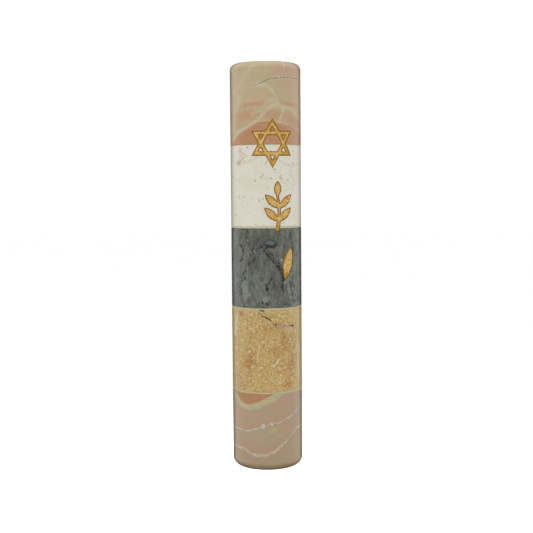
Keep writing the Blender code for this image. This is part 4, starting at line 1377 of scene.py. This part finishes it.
def makeTape():
    bm = bmesh.new()
    bmesh.ops.create_grid(bm, x_segments=1, y_segments=1, size=0.5)
    bmesh.ops.scale(bm, vec=(tape["width"], tape["height"], 1), verts=bm.verts[:])
    bmesh.ops.bevel(bm, geom=bm.verts[:], offset=tape["corner"], segments=8, profile=0.5, affect="VERTICES",
                    material=-1)
    bmesh.ops.rotate(bm, cent=(0, 0, 0), matrix=Matrix.Rotation(math.pi / 2, 3, "X"), verts=bm.verts[:])
    grown = bmesh.ops.extrude_face_region(bm, geom=bm.faces[:])
    raised = [item for item in grown["geom"] if isinstance(item, bmesh.types.BMVert)]
    bmesh.ops.translate(bm, vec=(0, backY, 0), verts=raised)
    sliced(bm, 1, backY, 0.0, tape["layers"])
    sliced(bm, 2, -tape["height"] / 2, tape["height"] / 2, tape["rows"])
    sliced(bm, 0, -tape["width"] / 2, tape["width"] / 2, tape["columns"])
    facing(bm)
    bm.normal_update()
    for vert in [vert for vert in bm.verts if backY * 0.99 < vert.co.y < backY * 0.01]:
        depth = vert.co.y / backY
        waver = 1 + tape["waver"] * noise.noise(vert.co * tape["waverGrain"])
        drawn = tape["waist"] * math.sin(math.pi * depth) * waver
        side = Vector((vert.normal.x, 0, vert.normal.z))
        if side.length > 0.5:
            vert.co -= side.normalized() * drawn
    obj = newObject("mountingTape", bm, materials["foam"])
    smooth(obj, 40)
    return obj


pieces = [
    (stones["top"], "topBlock", "stone_top", "pink_stone", "case"),
    (stones["white"], "whiteBlock", "stone_white", "white_stone", "case"),
    (stones["grey"], "greyBlock", "stone_grey", "grey_stone", "case"),
    (stones["golden"], "goldenBlock", "stone_golden", "golden_stone", "case"),
    (stones["bottom"], "bottomBlock", "stone_bottom", "pink_stone", "case"),
    (ornaments["ornament_star"], "starFill", "ornament_star", "gold_fill", "case"),
    (ornaments["ornament_sprig"], "sprigFill", "ornament_sprig", "gold_fill", "case"),
    (ornaments["ornament_leaf"], "leafFill", "ornament_leaf", "gold_fill", "case"),
    (makeTape(), "mountingTape", "back_tape", "foam_tape", "case"),
    (rollScroll(), "rolledParchment", "parchment_scroll", "parchment", "scroll"),
    (makePlug(), "boreStopper", "bore_plug", "plug_rubber", "plug"),
]
pieces += [(ring, f"resinSeam{index + 1}", seamNames[index], "seam_resin", "case")
           for index, ring in enumerate(rings)]
for obj, name, node, slot, body in pieces:
    obj.name = name
    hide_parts(node)
    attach(obj, body)
print("pieces placed:", len(pieces))


# floor, light and camera

def makeFloor():
    material, shader, where = newMaterial("paleFloor")
    speckle = fade(noisy(where, 0.02, 3.0), 0.3, 0.7)
    connect(shader, {"Base Color": mixed(speckle, (0.93, 0.93, 0.93, 1), (0.96, 0.96, 0.96, 1)),
                     "Roughness": 0.7, "Specular IOR Level": 0.2})
    bm = bmesh.new()
    bmesh.ops.create_circle(bm, cap_ends=True, segments=96, radius=studio["floorRadius"])
    bmesh.ops.translate(bm, vec=(0, 0, caseBottom - studio["floorDrop"]), verts=bm.verts[:])
    floor = newObject("floor", bm, material)
    floor.visible_diffuse = False      # the sky below already stands for its light
    floor.visible_glossy = False


def makeSky():
    world = bpy.data.worlds.new("softStudio")
    world.use_nodes = True
    background = begin(world.node_tree).nodes["Background"]
    direction = split(put("TexCoord")["Generated"])
    upward = fade(direction[2], -0.75, -0.10, studio["below"], studio["sky"])
    dimmed = fade(direction[1], 0.36, 0.88, 1.0, studio["behind"])
    lit = times(upward, dimmed)
    seen = put("LightPath")["Is Camera Ray"]
    strength = plus(times(lit, minus(1.0, seen)), times(seen, studio["seen"]))
    connect(background, {"Strength": strength, "Color": (1, 1, 1, 1)})
    bpy.context.scene.world = world


def softbox(name, place, target, size, power):
    light = bpy.data.lights.new(name, "AREA")
    light.shape = "RECTANGLE"
    light.size, light.size_y = size
    light.energy = power
    obj = bpy.data.objects.new(name, light)
    obj.location = place
    obj.rotation_euler = (Vector(target) - Vector(place)).to_track_quat("-Z", "Y").to_euler()
    bpy.context.scene.collection.objects.link(obj)
    return obj


# tall strips to both sides, a little behind the case, draw the pale streaks near its edges
streakLights = {"distance": 0.9, "angle": 128, "size": (0.10, 0.9), "power": 0.09}
keyLight = {"place": (-0.55, -0.75, 0.65), "size": (0.35, 0.35), "power": 0.8}
backLight = {"place": (0.1, 0.95, 0.30), "size": (0.4, 0.4), "power": 5.0}
view = {"distance": 0.380, "right": 0.0003, "up": 0.0305, "lens": 68.5, "sensor": 36.0, "roll": -0.0077}


def makeCamera():
    camera = bpy.data.cameras.new("camera")
    camera.lens = view["lens"]
    camera.sensor_width = view["sensor"]
    camera.clip_start = 0.01
    obj = bpy.data.objects.new("camera", camera)
    obj.location = (view["right"], axisY - view["distance"], view["up"])
    aim = (Vector((0, axisY, 0)) - obj.location).to_track_quat("-Z", "Y")
    obj.rotation_euler = (aim.to_matrix() @ Matrix.Rotation(view["roll"], 3, "Z")).to_euler()
    bpy.context.scene.collection.objects.link(obj)
    bpy.context.scene.camera = obj


makeFloor()
makeSky()
for side in (-1, 1):
    around = math.radians(streakLights["angle"])
    place = (side * streakLights["distance"] * math.sin(around),
             axisY - streakLights["distance"] * math.cos(around), 0.0)
    softbox(f"strip{side}", place, (0, axisY, 0), streakLights["size"], streakLights["power"])
softbox("key", keyLight["place"], (0, axisY, 0), keyLight["size"], keyLight["power"])
backLamp = softbox("back", backLight["place"], (0, axisY, 0), backLight["size"], backLight["power"])
backLamp.visible_glossy = False      # it lights the flat back and draws no streak
makeCamera()
bpy.context.scene.view_settings.view_transform = "Standard"
print("studio ready")

bpy.context.view_layer.update()
